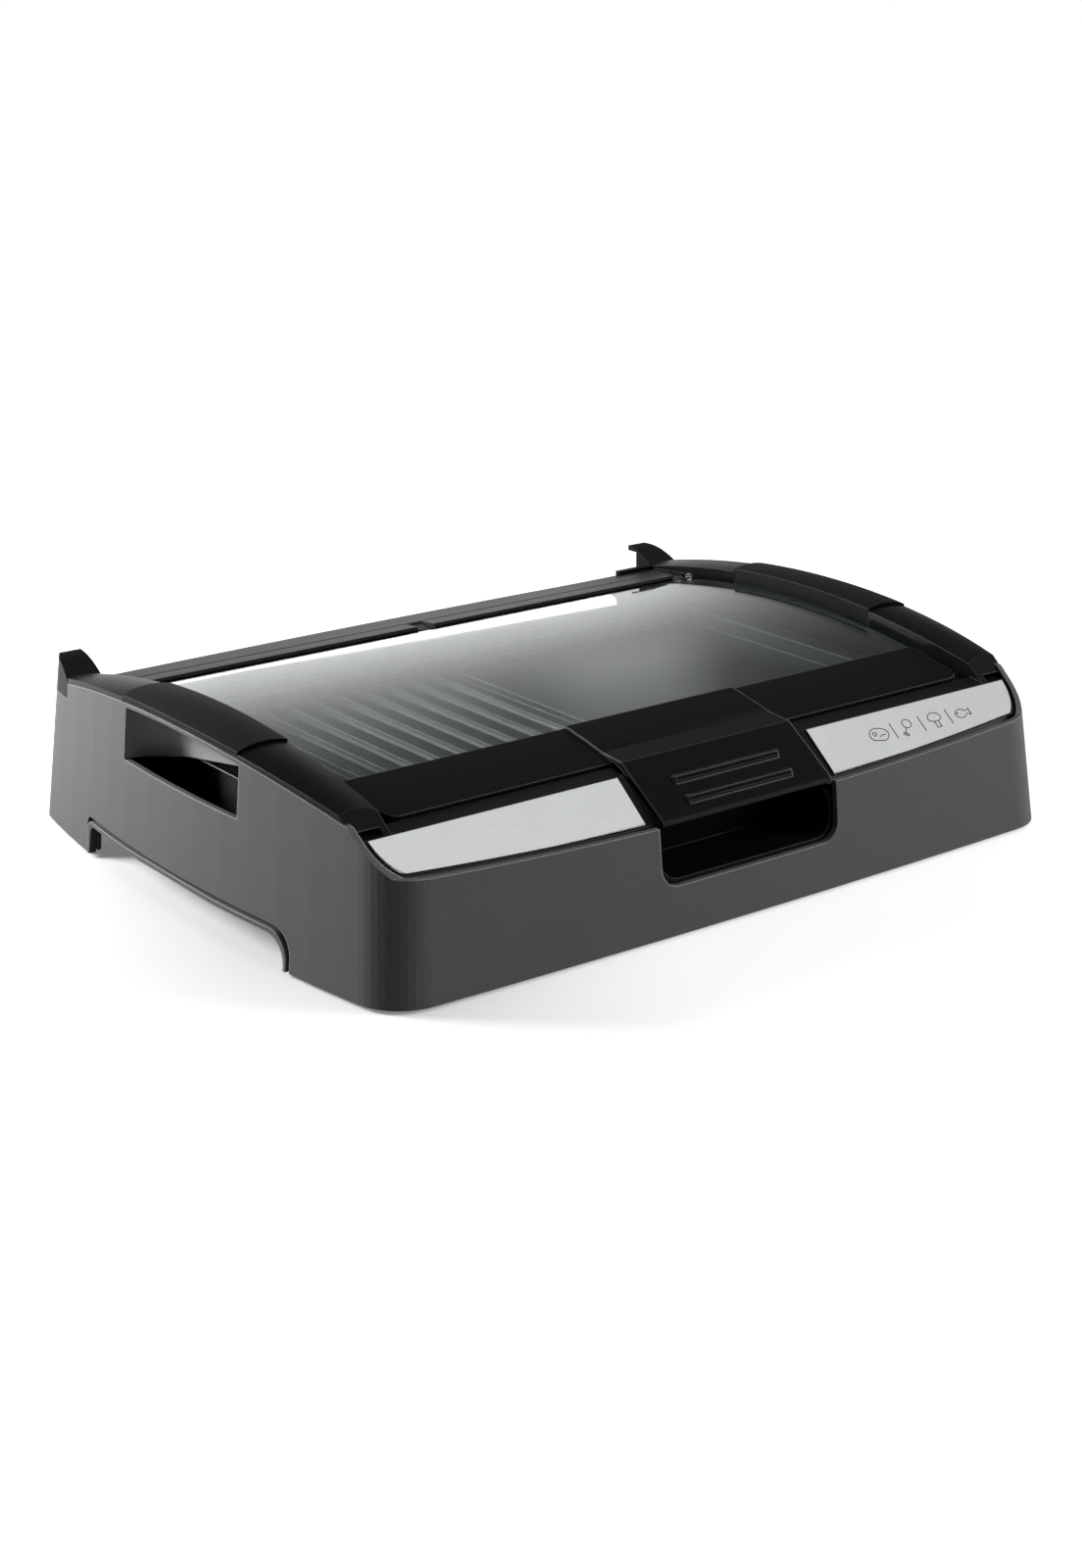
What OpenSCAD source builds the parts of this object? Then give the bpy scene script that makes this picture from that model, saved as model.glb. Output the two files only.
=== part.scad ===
// Electric table grill with a hinged glass lid, in millimetres.
// Z is up, -Y is the front with the lid handle, and the origin lies on the table
// under the middle of the foot outline.

/* [Body] */
// Overall width of the housing at its foot
body_w = 500; // [470:1:540]
// Overall depth of the housing at its foot
body_d = 399; // [385:1:430]
// How far each side bulges out between its corners
side_bow = 19.6; // [10:0.1:26]
// How far the front and the rear bulge out between their corners
front_bow = 4.9; // [2:0.1:8]
// Corner radius of the outline at the foot
corner_r = 30; // [24:1:38]
// Draft of the outer walls in degrees
draft = 6; // [4:0.5:7]
// Thickness of the housing walls
wall = 3.5; // [2.5:0.1:4.5]
// Height of the rubber feet under the housing edge
foot_h = 2; // [1:0.5:5]
// Height of the side walls at mid-depth
top_h = 107; // [102:1:114]
// How far the top curve has fallen at the upper edge of the fascia
top_drop = 19.6; // [16:0.1:22]
// Depth of the low deck behind the rear bar
deck_d = 52.5; // [46:0.5:60]
// How far the low deck lies under the top of the side walls
deck_drop = 30; // [28:1:37]
// Height of the corner pads on the deck that carry the rear hooks
pad_up = 4.3; // [2:0.1:9]

/* [Front fascia] */
// Distance from the front of the foot outline to the upper edge of the fascia
fascia_d = 37.9; // [33.5:0.1:42.5]
// How far the upper edge of the fascia lies under the top curve
fascia_sink = 5; // [2:0.1:9]
// Slope of the fascia in degrees
fascia_slope = 38.7; // [34:0.5:43]
// How far the front wall ends under the upper edge of the fascia, in the middle
smile_drop = 21.5; // [17:0.1:25.5]
// Radius of the curved upper edge of the front wall
smile_r = 3530; // [3000:50:5000]
// Half width of the finger notch in the front wall
notch_half_w = 62; // [54:1:64]
// Height of the bottom of the finger notch over the base plate
notch_up = 0.1; // [0.1:0.1:11]
// Corner radius of the finger notch
notch_r = 11; // [5:1:16]

/* [Side openings] */
// Front end of the hand opening in each side wall
hand_y0 = -66.5; // [-75:0.5:-55]
// Rear end of the hand opening
hand_y1 = 56.5; // [45:0.5:65]
// How far the bottom of the hand opening lies under the top of the side walls
hand_drop = 36.5; // [29:0.5:43]
// How far the hand opening ends under the top curve
hand_rim = 4.6; // [3:0.1:8]
// Distance from the front of the foot outline to the arch in each side wall
arch_front_d = 82; // [59.5:0.5:89.5]
// Distance from the rear of the foot outline to the arch
arch_rear_d = 93.5; // [89.5:0.5:119.5]
// Height of the arch
arch_h = 24; // [16:0.5:24]
// Corner radius at the front end of the arch
arch_front_r = 15; // [6:1:16]
// Corner radius at the rear end of the arch
arch_rear_r = 5; // [3:1:12]

/* [Frame] */
// Width of each side rail with the wall beside it, at the foot
rail_w = 43; // [40:0.5:46]
// Thickness of the upright inner walls of the frame
frame_wall = 4; // [3.6:0.1:5]
// Thickness of the sloping front skin
skin = 3; // [2:0.1:4]
// How far the top of the side walls lies under the top curve in the middle
cap_t = 2.6; // [2:0.1:3]
// Rise of the crowned rail tops over the top curve
crown = 3.4; // [1:0.1:5]
// How far the highest line of a rail lies outside its inner face
crown_in = 13; // [8:1:19]
// Radius of the crown across the rail
crown_r = 47; // [40:1:80]
// Depth of the rear bar
bar_d = 35.8; // [33:0.1:35.9]
// How far the front edge of the rear bar lies under the top curve
bar_sink = 3.6; // [1.8:0.1:5.8]
// How far the hand grips start behind the front end of the hand openings
grip_front = 2; // [-3:0.5:11]
// How far the hand grips run on behind the hand openings
grip_rear = 5; // [-6:0.5:11]
// How far the grips stand over the rails
grip_rise = 1.4; // [0.5:0.1:3]
// Thickness of the grip caps
grip_t = 2.6; // [2:0.1:3.5]

/* [Lid] */
// Gap between the lid and each side rail
lid_gap = 6.5; // [4:0.1:16]
// How far the top of the glass lies under the top of the side walls, at mid-depth
lid_sink = 5; // [3:0.1:9]
// How far the lid has fallen at its front edge
lid_drop = 17.5; // [15.5:0.1:19]
// Thickness of the glass
glass_t = 4; // [3:0.5:5]
// Gap between the glass and the rear bar
glass_gap = 7.2; // [6.7:0.1:11.2]
// Distance from the upper edge of the fascia to the front edge of the lid
ledge_d = 12.3; // [11.6:0.1:16.6]
// Width of the front band, front to back
band_d = 42; // [30:1:50]
// How far the band stands over the glass
band_rise = 1.2; // [0.6:0.1:2]
// Gap between the handle and each side of the finger notch
handle_gap = 2.9; // [2:0.1:12]
// Distance from the front edge of the lid to the fold of the handle
fold_out = 7.5; // [4.7:0.1:9.7]
// Rise of the handle from the front edge of the lid to the fold
fold_up = 0.6; // [0:0.1:2.5]
// Distance from the front of the foot outline to the front edge of the handle
nose_in = 6.1; // [4.5:0.1:11.5]
// Height of the front edge of the handle over the plane of the fascia
nose_up = 6.6; // [5.6:0.1:11]
// Thickness of the handle
handle_t = 3.6; // [3:0.1:4]
// Height of the two finger ribs on the handle
rib_h = 2.4; // [1:0.1:4]
// Gap between the hinge axis and the rear bar
hinge_gap = 4.7; // [4.6:0.1:5.2]
// Height of the hinge axis over the lower rear edge of the glass
hinge_up = 1.5; // [1:0.1:2]
// Radius of the hinge pins
pin_r = 2.5; // [1.5:0.1:2.5]

/* [Inside] */
// Gap between the base plate and the pan
floor_gap = 5.5; // [2.5:0.5:9.5]
// How far the flange of the pan lies under the top of the side walls
rim_drop = 34; // [33:0.5:37]
// Thickness of the pan sheet
sheet = 1; // [0.8:0.1:1.5]
// How far the cooking plate reaches down under the flange of the pan
plate_drop = 11; // [9:0.5:13]
// Thickness of the cooking plate
plate_t = 4; // [3:0.5:5]
// Pitch of the ribs on the left half of the cooking plate
rib_pitch = 17.5; // [12:0.5:24]
// Height of the ribs over the cooking plate
plate_rib_h = 4; // [2:0.5:6]
// Radius of the heating tube
tube_r = 3.3; // [2.5:0.1:4]
// Gap between the heating tube and the cooking plate
tube_gap = 1.7; // [0.7:0.1:3]
// Distance from the centre to the middle of the socket, to the right
socket_x = 118; // [80:1:140]
// Width of the socket opening
socket_w = 58; // [50:1:70]
// Height of the socket opening
socket_d = 30; // [26:1:34]

/* [Hidden] */

// Clearances: between pieces, around a hinge pin, in a glued joint, under a grip, under the lid
fit = 0.2;
run_fit = 0.05;
glue = 0.1;
seat_gap = 0.1;
rest_gap = 0.3;
eps = 0.01;

// Sizes of cutting shapes that only have to be larger than the grill
form_h = 125;
far = 700;

// Curves of the outline, the top and the lid
side_r = bow_radius(body_d / 2, side_bow);
front_r = bow_radius(body_w / 2, front_bow);
fascia_y = body_d / 2 - fascia_d;
lid_y0 = fascia_y - ledge_d;
lid_top_h = top_h - lid_sink;
top_r = bow_radius(fascia_y, top_drop);
lid_r = bow_radius(lid_y0, lid_drop);
top_axis_z = top_h - top_r;
seam_r = bow_radius(fascia_y, top_drop - cap_t);
seam_axis_z = top_h - cap_t - seam_r;
lid_axis_z = lid_top_h - lid_r;

// Places taken from the foot outline and the top curve
rear_step_y = body_d / 2 - deck_d;
deck_h = top_h - deck_drop;
pad_h = deck_h + pad_up;
fascia_h = top_h - top_drop - fascia_sink;
smile_h = fascia_h - smile_drop;
bar_y = rear_step_y - bar_d;
bar_h = arc_z(top_axis_z, top_r, bar_y) - bar_sink;
rail_in = body_w / 2 - rail_w;
crown_x = rail_in + crown_in;
hand_h = top_h - hand_drop;
arch_y0 = arch_front_d - body_d / 2;
arch_y1 = body_d / 2 - arch_rear_d;
grip_y0 = hand_y0 + grip_front;
grip_y1 = hand_y1 + grip_rear;
pan_rim_h = top_h - rim_drop;
plate_h = pan_rim_h - plate_drop;
tube_h = plate_h - tube_r - tube_gap;

// Housing
lip_rise = 1.2;
cut_reach = 26;
web_t = 3;
boss_in = 36;
boss_x = body_w / 2 - boss_in;
boss_rear_in = 41.5;
boss_y = body_d / 2 - boss_rear_in;
boss_r = 5;
boss_len = 26;
screw_r = 1.6;
screw_head_r = 3.6;
head_h = 1.6;
slot_len = 4;
slot_w = 0.8;

// Frame and what sits in it
frame_inset = wall + fit;
frame_bot = pan_rim_h;
ledge_gap = 2;
ledge_y = lid_y0 + ledge_gap;
ledge_h = arc_z(lid_axis_z, lid_r, ledge_y);
shelf_d = 10;
shelf_y = shelf_d - ledge_y;
shelf_t = 1.6;
rail_depth = 60;
rail_skin = 2.5;
lip_r = 1.1;
groove_in = 15;
groove_y = bar_y + groove_in;
groove_r = 0.9;
mark_x = -2;
mark_w = 12;
mark_d = 2;
grip_leg = 12.8;
channel_d = 5;
channel_fore = 3;
channel_aft = 4;
pocket_t = 2.4;
pocket_gap = 0.1;
trim_t = 1;
trim_edge = 2.6;
trim_gap = 4.5;
trim_in_x = notch_half_w + trim_gap;
bush_r = pin_r + 2;
bush_out = 1.5;
band_foot = 3;
buffer_r = 3;
buffer_x = rail_in - 19 * buffer_r;
buffer_y = lid_y0 - band_foot - buffer_r / 2;
buffer_top = arc_z(lid_axis_z, lid_r - glass_t - band_foot, buffer_y + buffer_r) - rest_gap;

// Rear hooks
hook_h0 = arc_z(top_axis_z, top_r, rear_step_y);
tip_out = 26.4;
tip_y = rear_step_y + tip_out;
tip_up = 20.5;
tip_h = pad_h + tip_up;
tip_t = 3.3;
stem_d = 17.5;
stem_y = rear_step_y + stem_d;
ramp_r = 50;
tab_w = 28.5;
tab_t = 3.5;
tab_up = 15.9;
tab_h = deck_h + tab_up;

// Hand openings
cheek_t = 2.4;
cheek_r = 28;
cheek_gap = 2;
sill_t = 8;

// Base plate and feet
base_gap = 2;
base_z0 = arch_h + base_gap;
base_t = 2.5;
notch_h = base_z0 + base_t + notch_up;
skirt_gap = 0.5;
skirt_t = 2.2;
skirt_up = 2;
skirt_peek = 4.5;
foot_r = 9;
foot_in = 27.5;
foot_x = body_w / 2 - side_bow - foot_in + 2 * skirt_t;
foot_y = body_d / 2 - foot_in;
stub_r = 3;
cup_floor = 7;
vent_pitch = 24;
vent_w = 5;
vent_len = 110;

// Pan and drip tray
pan_flange = 7;
pan_front_gap = 12;
pan_rear_gap = 8.2;
pan_x = rail_in - pan_flange;
pan_y0 = pan_front_gap - ledge_y;
pan_y1 = bar_y - pan_rear_gap;
pan_floor_h = base_z0 + base_t + floor_gap;
pan_r = 18;
post_in = 39;
post_x = pan_x - post_in;
post_y0 = pan_y0 + post_in;
post_y1 = pan_y1 - post_in;
post_r = 5;
tray_h = 11;
tray_r = 14;
tray_rim = 3;
tray_gap = 5;
tray_x = pan_x - 2 * tray_gap;
tray_y0 = pan_y0 + tray_gap;
tray_y1 = pan_y1 - tray_gap;

// Heating tube and what holds it
loop_edge = 37;
loop_pitch = (pan_y1 - pan_y0 - 2 * loop_edge) / 3;
loop_mid = (pan_y0 + pan_y1) / 2;
loop_side = 54;
loop_x = pan_x - loop_side;
loop_short = 52;
loop_in_x = socket_x - loop_short;
tube_bend = 20;
clip_in = 26;
clip_x0 = clip_in - loop_x;
clip_step = (loop_x + loop_in_x) / 2 - 0.8 * clip_in;
clip_w = 10;
strip_t = 1.5;

// Cooking plate
plate_gap = 3.3;
plate_x = pan_x - plate_gap;
plate_y0 = pan_y0 + plate_gap;
plate_y1 = pan_y1 - plate_gap;
plate_r = 16;
plate_lip = 10;
rim_t = 2.4;
rim_top = pan_rim_h + rim_t;
rib_w = 6;
rib_edge = 14;
rib_count = floor((plate_x - plate_t - rib_edge - rib_w) / rib_pitch) + 1;
divider_t = 3;
drain_y = 14;
drain_x = 60;
drain_len = 40;
drain_w = 7;

// Socket, its pins and the feeler sleeve
socket_down = 15;
socket_z0 = tube_h - socket_down;
socket_in = 41.5;
socket_y0 = body_d / 2 - socket_in;
socket_t = 2.5;
flange_w = 3;
flange_in = 13;
flange_y = body_d / 2 - flange_in;
rim_set = 0.4;
pin_pitch = 24;
contact_r = 2.4;
pin_root = 12;
pin_out = 22;
pin_y0 = socket_y0 - pin_root;
pin_y1 = socket_y0 + pin_out;
sleeve_r = 4;
probe_r = 3;
sleeve_under = 43;
sleeve_y0 = pan_y1 - sleeve_under;

// Lid
lid_w = 2 * (rail_in - lid_gap);
glass_y1 = bar_y - glass_gap;
hinge_y = bar_y - hinge_gap;
hinge_h = arc_z(lid_axis_z, lid_r - glass_t, glass_y1) + hinge_up;
grip_d = 9;
glass_y0 = lid_y0 - grip_d;
glass_corner_r = 14;
band_y1 = lid_y0 - band_d;
band_corner_r = 8;
handle_up = 1.5;
handle_half_w = notch_half_w - handle_gap;
fold_y = lid_y0 + fold_out;
fold_h = arc_z(lid_axis_z, lid_r + band_rise + handle_up, lid_y0) + fold_up;
nose_y = body_d / 2 - nose_in;
nose_h = fascia_z(-nose_y) + nose_up;
rib_in = 23;
rib_half_w = handle_half_w - rib_in;
rib_fore = 15.7;
rib_y0 = fold_y + rib_fore;
rib_step = 11.5;
stud_in = 19;
stud_x = handle_half_w - stud_in;
stud_y = (lid_y0 + glass_y0) / 2;
stud_r = 3.2;
web_up = 2.1;
web_z = arc_z(lid_axis_z, lid_r - glass_t - band_foot, stud_y) + web_up;
band_web = 1.2;
arm_t = 5;
arm_rim = 1.6;
bracket_d = 14;
bracket_t = 3;
bracket_w = 36;

function bow_radius(half, bow) = (half * half + bow * bow) / (2 * bow);
function arc_z(axis_z, r, y) = axis_z + sqrt(r * r - y * y);
function fascia_z(y) = fascia_h + (y + fascia_y) * tan(fascia_slope);
function taper_x(z) = 1 - 2 * (z - foot_h) * tan(draft) / body_w;
function taper_y(z) = 1 - 2 * (z - foot_h) * tan(draft) / body_d;
function handle_z(y) = fold_h + (y + fold_y) * (fold_h - nose_h) / (nose_y - fold_y);
function loop_y(i) = loop_mid + (i - 1.5) * loop_pitch;

// Outline of the housing at the table, drawn in by inset all round
module body_plan(inset = 0) {
    offset(r = corner_r - inset, $fn = 48)
        offset(delta = -corner_r)
            intersection() {
                translate([body_w / 2 - side_r, 0])
                    circle(side_r, $fn = 240);
                translate([side_r - body_w / 2, 0])
                    circle(side_r, $fn = 240);
                translate([0, body_d / 2 - front_r])
                    circle(front_r, $fn = 720);
                translate([0, front_r - body_d / 2])
                    circle(front_r, $fn = 720);
            }
}

// Drafted block of the outline between two heights
module body_form(inset, z0, z1) {
    translate([0, 0, z0])
        linear_extrude(height = z1 - z0, slices = 1,
            scale = [taper_x(z1) / taper_x(z0), taper_y(z1) / taper_y(z0)])
            scale([taper_x(z0), taper_y(z0)])
                body_plan(inset);
}

// Side view shape (y, z) drawn out along X
module along_x(x0, x1) {
    translate([x0, 0, 0])
        rotate([90, 0, 90])
            linear_extrude(height = x1 - x0)
                children();
}

// Front view shape (x, z) drawn out along Y
module along_y(y0, y1) {
    translate([0, y1, 0])
        rotate([90, 0, 0])
            linear_extrude(height = y1 - y0)
                children();
}

// Section (radius, x) revolved about an axis along X, between two depths
module arched(axis_z, r, y0, y1) {
    a0 = asin(y0 / r);
    a1 = asin(y1 / r);
    translate([0, 0, axis_z])
        rotate([90, 0, 90])
            rotate([0, 0, 90 - a1])
                rotate_extrude(angle = a1 - a0, $fn = 360)
                    children();
}

module box(x0, x1, y0, y1, z0, z1) {
    translate([x0, y0, z0])
        cube([x1 - x0, y1 - y0, z1 - z0]);
}

// Round bar or bore along Y
module hole_y(x, z, r, y0, y1) {
    translate([x, y1, z])
        rotate([90, 0, 0])
            cylinder(r = r, h = y1 - y0, $fn = 48);
}

module rounded_rect(x0, x1, y0, y1, r) {
    translate([x0 + r, y0])
        square([x1 - x0 - 2 * r, y1 - y0]);
    translate([x0, y0 + r])
        square([x1 - x0, y1 - y0 - 2 * r]);
    for (x = [x0 + r, x1 - r], y = [y0 + r, y1 - r])
        translate([x, y])
            circle(r, $fn = 64);
}

// Everything under the side view curve, raised by extra
module under_arch(axis_z, r, extra = 0) {
    translate([-far / 2, 0, axis_z])
        rotate([90, 0, 90])
            cylinder(r = r + extra, h = far, $fn = 720);
}

// Everything under the sloping fascia, raised by extra at right angles to it
module under_fascia(extra = 0) {
    rise = extra / cos(fascia_slope);
    along_x(-far / 2, far / 2)
        polygon([[-far / 2, fascia_z(-far / 2) + rise], [far / 2, fascia_z(far / 2) + rise],
            [far / 2, -far], [-far / 2, -far]]);
}

// Everything under the smiling edge of the front wall
module under_smile(extra = 0) {
    difference() {
        box(-far / 2, far / 2, -far / 2, far / 2, -1, smile_h + 40);
        translate([0, far / 2 + 1, smile_h + smile_r + extra])
            rotate([90, 0, 0])
                cylinder(r = smile_r, h = far + 2, $fn = 1440);
    }
}

// Moulded outer housing with its hand openings, arches, finger notch and socket opening
module housing() {
    color([0.25, 0.25, 0.26])
        difference() {
            intersection() {
                body_form(0, foot_h, form_h);
                under_arch(seam_axis_z, seam_r);
                union() {
                    under_smile();
                    under_fascia(lip_rise);
                }
            }
            difference() {
                body_form(wall, foot_h - 1, form_h + 1);
                front_shelf();
                rear_deck();
                corner_bosses();
            }
            rear_step();
            hand_openings();
            side_arches(0, body_w / 2 + 1);
            finger_notch(-body_d, 1 - fascia_y);
            socket_opening();
            base_screw_holes();
        }
}

// Shelf behind the top of the front wall, on which the fascia stands
module front_shelf() {
    difference() {
        intersection() {
            under_smile();
            under_fascia(-skin - fit);
            box(-body_w / 2, body_w / 2, -body_d / 2, -fascia_y, 0, form_h);
        }
        under_smile(-wall);
    }
}

// Low deck behind the rear bar, with a pad in each corner for the hooks
module rear_deck() {
    box(-body_w / 2, body_w / 2, rear_step_y - wall, body_d / 2, deck_h - wall, deck_h);
    for (side = [0, 1])
        mirror([side, 0, 0])
            box(rail_in, body_w / 2, rear_step_y, body_d / 2, deck_h - wall, pad_h);
}

// Space cut away over the deck and the pads
module rear_step() {
    box(-rail_in, rail_in, rear_step_y, body_d, deck_h, form_h + 2);
    for (side = [0, 1])
        mirror([side, 0, 0])
            box(rail_in - eps, body_w, rear_step_y, body_d, pad_h, form_h + 2);
}

// Screw bosses that reach down to the base plate, each tied to its corner by a web
module corner_bosses() {
    z0 = base_z0 + base_t;
    for (side = [0, 1], y = [-boss_y, boss_y])
        mirror([side, 0, 0]) {
            translate([boss_x, y, z0])
                cylinder(r = boss_r, h = boss_len, $fn = 32);
            box(boss_x, body_w / 2, y - web_t / 2, y + web_t / 2, z0, z0 + boss_len);
        }
}

module hand_openings() {
    for (side = [0, 1])
        mirror([side, 0, 0])
            intersection() {
                box(body_w / 2 - cut_reach, body_w / 2 + 1, hand_y0, hand_y1, hand_h, form_h);
                under_arch(top_axis_z, top_r, -hand_rim);
            }
}

// Arched cut-outs in the foot of both side walls
module side_arches(shrink, half_w) {
    h = arch_h - shrink;
    y0 = arch_y0 + 1.5 * shrink;
    y1 = arch_y1 - 1.5 * shrink;
    along_x(-half_w, half_w)
        union() {
            translate([y0, -1])
                square([y1 - y0, h + 1 - arch_front_r]);
            translate([y0 + arch_front_r, h - arch_front_r])
                circle(arch_front_r, $fn = 64);
            translate([y1 - arch_rear_r, h - arch_rear_r])
                circle(arch_rear_r, $fn = 48);
            translate([y0 + arch_front_r, -1])
                square([y1 - y0 - arch_front_r - arch_rear_r, h + 1]);
            translate([y0 + arch_front_r, -1])
                square([y1 - y0 - arch_front_r, h + 1 - arch_rear_r]);
        }
}

// Finger notch, open at the top
module finger_notch(y0, y1, extra = 0) {
    w = notch_half_w + extra;
    bottom = notch_h - extra;
    along_y(y0, y1)
        union() {
            translate([-w, bottom + notch_r])
                square([2 * w, form_h]);
            translate([notch_r - w, bottom])
                square([2 * (w - notch_r), form_h]);
            for (x = [notch_r - w, w - notch_r])
                translate([x, bottom + notch_r])
                    circle(notch_r, $fn = 64);
        }
}

module socket_opening() {
    translate([0, 0, socket_z0])
        box(socket_x - socket_w / 2, socket_x + socket_w / 2, body_d / 2 - cut_reach, body_d / 2 + 1, 0, socket_d);
}

module base_screw_holes() {
    for (x = [-boss_x, boss_x], y = [-boss_y, boss_y])
        translate([x, y, 0])
            cylinder(r = screw_r, h = base_z0 + base_t + boss_len - 4, $fn = 24);
}

// Section (radius, x) of one side rail with its crowned top, drawn in by inset
module rail_section(rise = 0, inset = 0) {
    intersection() {
        translate([top_r - rail_depth, rail_in + inset])
            square([rail_depth + crown + rise, body_w / 2 - rail_in]);
        translate([top_r + crown + rise - crown_r, crown_x])
            circle(crown_r - inset, $fn = 96);
    }
}

// Moulded top frame: side rails, front ledge with sloping fascia, and rear bar
module top_frame() {
    color([0.09, 0.09, 0.095])
        difference() {
            union() {
                intersection() {
                    body_form(frame_inset, foot_h, form_h);
                    under_fascia(0);
                    union() {
                        frame_rails();
                        frame_front();
                        frame_bar();
                    }
                }
                rail_caps();
                finger_pocket();
            }
            fascia_clearance();
            grip_seats();
            handle_channel();
            bar_notch();
            bush_holes();
        }
}

// Both rails: a crowned skin with an upright inner wall
module frame_rails() {
    for (side = [0, 1])
        mirror([side, 0, 0])
            difference() {
                arched(top_axis_z, top_r, -fascia_y - rail_depth / 2, rear_step_y - fit)
                    rail_section();
                arched(top_axis_z, top_r, -fascia_y - rail_depth / 2 - 1, rear_step_y + 1)
                    translate([top_r - rail_depth - 1, rail_in + frame_wall])
                        square([rail_depth + 1 - rail_skin, body_w / 2]);
                box(0, body_w, -body_d, body_d, 0, frame_bot);
                box(0, body_w, rear_step_y - wall - fit, body_d, 0, deck_h);
            }
}

// Rim of the rails that lies over the top of the side walls, in front of and behind the grips
module rail_caps() {
    intersection() {
        body_form(0, foot_h, form_h);
        under_fascia(0);
        difference() {
            union() {
                rail_cap(-fascia_y - cap_t, grip_y0);
                rail_cap(grip_y1, rear_step_y - fit);
            }
            under_arch(seam_axis_z, seam_r, fit);
        }
    }
}

module rail_cap(y0, y1) {
    for (side = [0, 1])
        mirror([side, 0, 0])
            arched(top_axis_z, top_r, y0, y1)
                intersection() {
                    rail_section();
                    translate([top_r - 2 * cap_t, crown_x])
                        square([2 * cap_t + crown, body_w / 2]);
                }
}

// Ledge in front of the lid, its upright inner wall and the sloping skin
module frame_front() {
    drop = skin / cos(fascia_slope);
    low_y = body_d / 2;
    along_x(-body_w / 2, body_w / 2)
        polygon([[-ledge_y, ledge_h], [-fascia_y, fascia_h], [-low_y, fascia_z(-low_y)],
            [-low_y, fascia_z(-low_y) - drop], [-fascia_y, fascia_h - drop],
            [-ledge_y - frame_wall, ledge_h - drop], [-ledge_y - frame_wall, frame_bot],
            [-ledge_y, frame_bot]]);
    box(-rail_in - frame_wall, rail_in + frame_wall, -ledge_y - frame_wall, shelf_y, frame_bot, frame_bot + shelf_t);
}

// Rear bar between the rails, with a parting groove along its top
module frame_bar() {
    back_y = rear_step_y - fit;
    back_z = arc_z(top_axis_z, top_r, rear_step_y);
    along_x(-body_w / 2, body_w / 2)
        difference() {
            polygon([[bar_y, frame_bot], [bar_y, bar_h - lip_r], [bar_y + lip_r, bar_h],
                [back_y, back_z], [back_y, deck_h], [back_y - frame_wall, deck_h],
                [back_y - frame_wall, back_z - skin], [bar_y + frame_wall, bar_h - skin - lip_r],
                [bar_y + frame_wall, frame_bot]]);
            translate([groove_y, bar_h - (groove_y - bar_y) * (bar_h - back_z) / (back_y - bar_y)])
                circle(groove_r, $fn = 24);
        }
}

// Pocket behind the finger notch
module finger_pocket() {
    intersection() {
        body_form(frame_inset, foot_h, form_h);
        under_fascia(0);
        difference() {
            finger_notch(-body_d / 2, -ledge_y, -pocket_gap);
            finger_notch(-body_d, -ledge_y - frame_wall, -pocket_gap - pocket_t);
            box(-body_w, body_w, -body_d, body_d, ledge_h - 1, form_h * 2);
        }
    }
}

// Space over the smiling edge of the housing wall, which the frame stays clear of
module fascia_clearance() {
    difference() {
        intersection() {
            under_smile(fit);
            box(-body_w / 2, body_w / 2, -body_d / 2, -fascia_y, 0, form_h);
        }
        box(-notch_half_w, notch_half_w, -body_d / 2, 0, 0, form_h);
    }
}

// Lowered seats that carry the grips
module grip_seats() {
    for (side = [0, 1])
        mirror([side, 0, 0])
            arched(top_axis_z, top_r, grip_y0, grip_y1)
                difference() {
                    translate([top_r - grip_leg - fit, rail_in - 1])
                        square([grip_leg + fit + rail_depth, body_w / 2]);
                    rail_section(grip_rise, grip_t + seat_gap);
                }
}

// Free space for the handle between the two trim plates
module handle_channel() {
    y0 = -body_d / 2;
    y1 = -fascia_y - channel_fore;
    y2 = -fascia_y + channel_aft;
    along_x(-notch_half_w, notch_half_w)
        polygon([[y0, fascia_z(y0) - 2 * channel_d], [y1, fascia_z(y1) - channel_d],
            [y2, fascia_h - channel_d / 2], [-lid_y0, fascia_h + fit], [-lid_y0, form_h],
            [y0, form_h]]);
}

// Small centring notch in the front edge of the rear bar
module bar_notch() {
    box(mark_x - mark_w / 2, mark_x + mark_w / 2, bar_y - 1, groove_y - groove_r, bar_h - mark_d, bar_h + 1);
}

module bush_holes() {
    for (side = [0, 1])
        mirror([side, 0, 0])
            translate([rail_in - 1, hinge_y, hinge_h])
                rotate([0, 90, 0])
                    cylinder(r = bush_r, h = frame_wall + 2, $fn = 48);
}

// Grip cap over one rail, with a leg down its inner side
module grip() {
    intersection() {
        body_form(0, foot_h, form_h);
        arched(top_axis_z, top_r, grip_y0 + seat_gap, grip_y1 - seat_gap)
            difference() {
                intersection() {
                    rail_section(grip_rise);
                    translate([top_r - grip_leg, rail_in])
                        square([grip_leg + rail_depth, body_w / 2]);
                }
                rail_section(grip_rise, grip_t);
            }
    }
}

module grip_left() {
    color([0.07, 0.07, 0.075])
        mirror([1, 0, 0])
            grip();
}

module grip_right() {
    color([0.07, 0.07, 0.075])
        grip();
}

// Brushed trim plate lying on the fascia beside the handle
module trim() {
    difference() {
        intersection() {
            body_form(frame_inset + trim_edge, foot_h, form_h);
            under_fascia(trim_t);
            box(trim_in_x, body_w / 2, -body_d / 2, -fascia_y - trim_edge / 2, 0, form_h);
        }
        under_fascia(0);
        under_smile(trim_edge / 2);
    }
}

module trim_left() {
    color([0.8, 0.8, 0.8])
        mirror([1, 0, 0])
            trim();
}

module trim_right() {
    color([0.8, 0.8, 0.8])
        trim();
}

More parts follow.
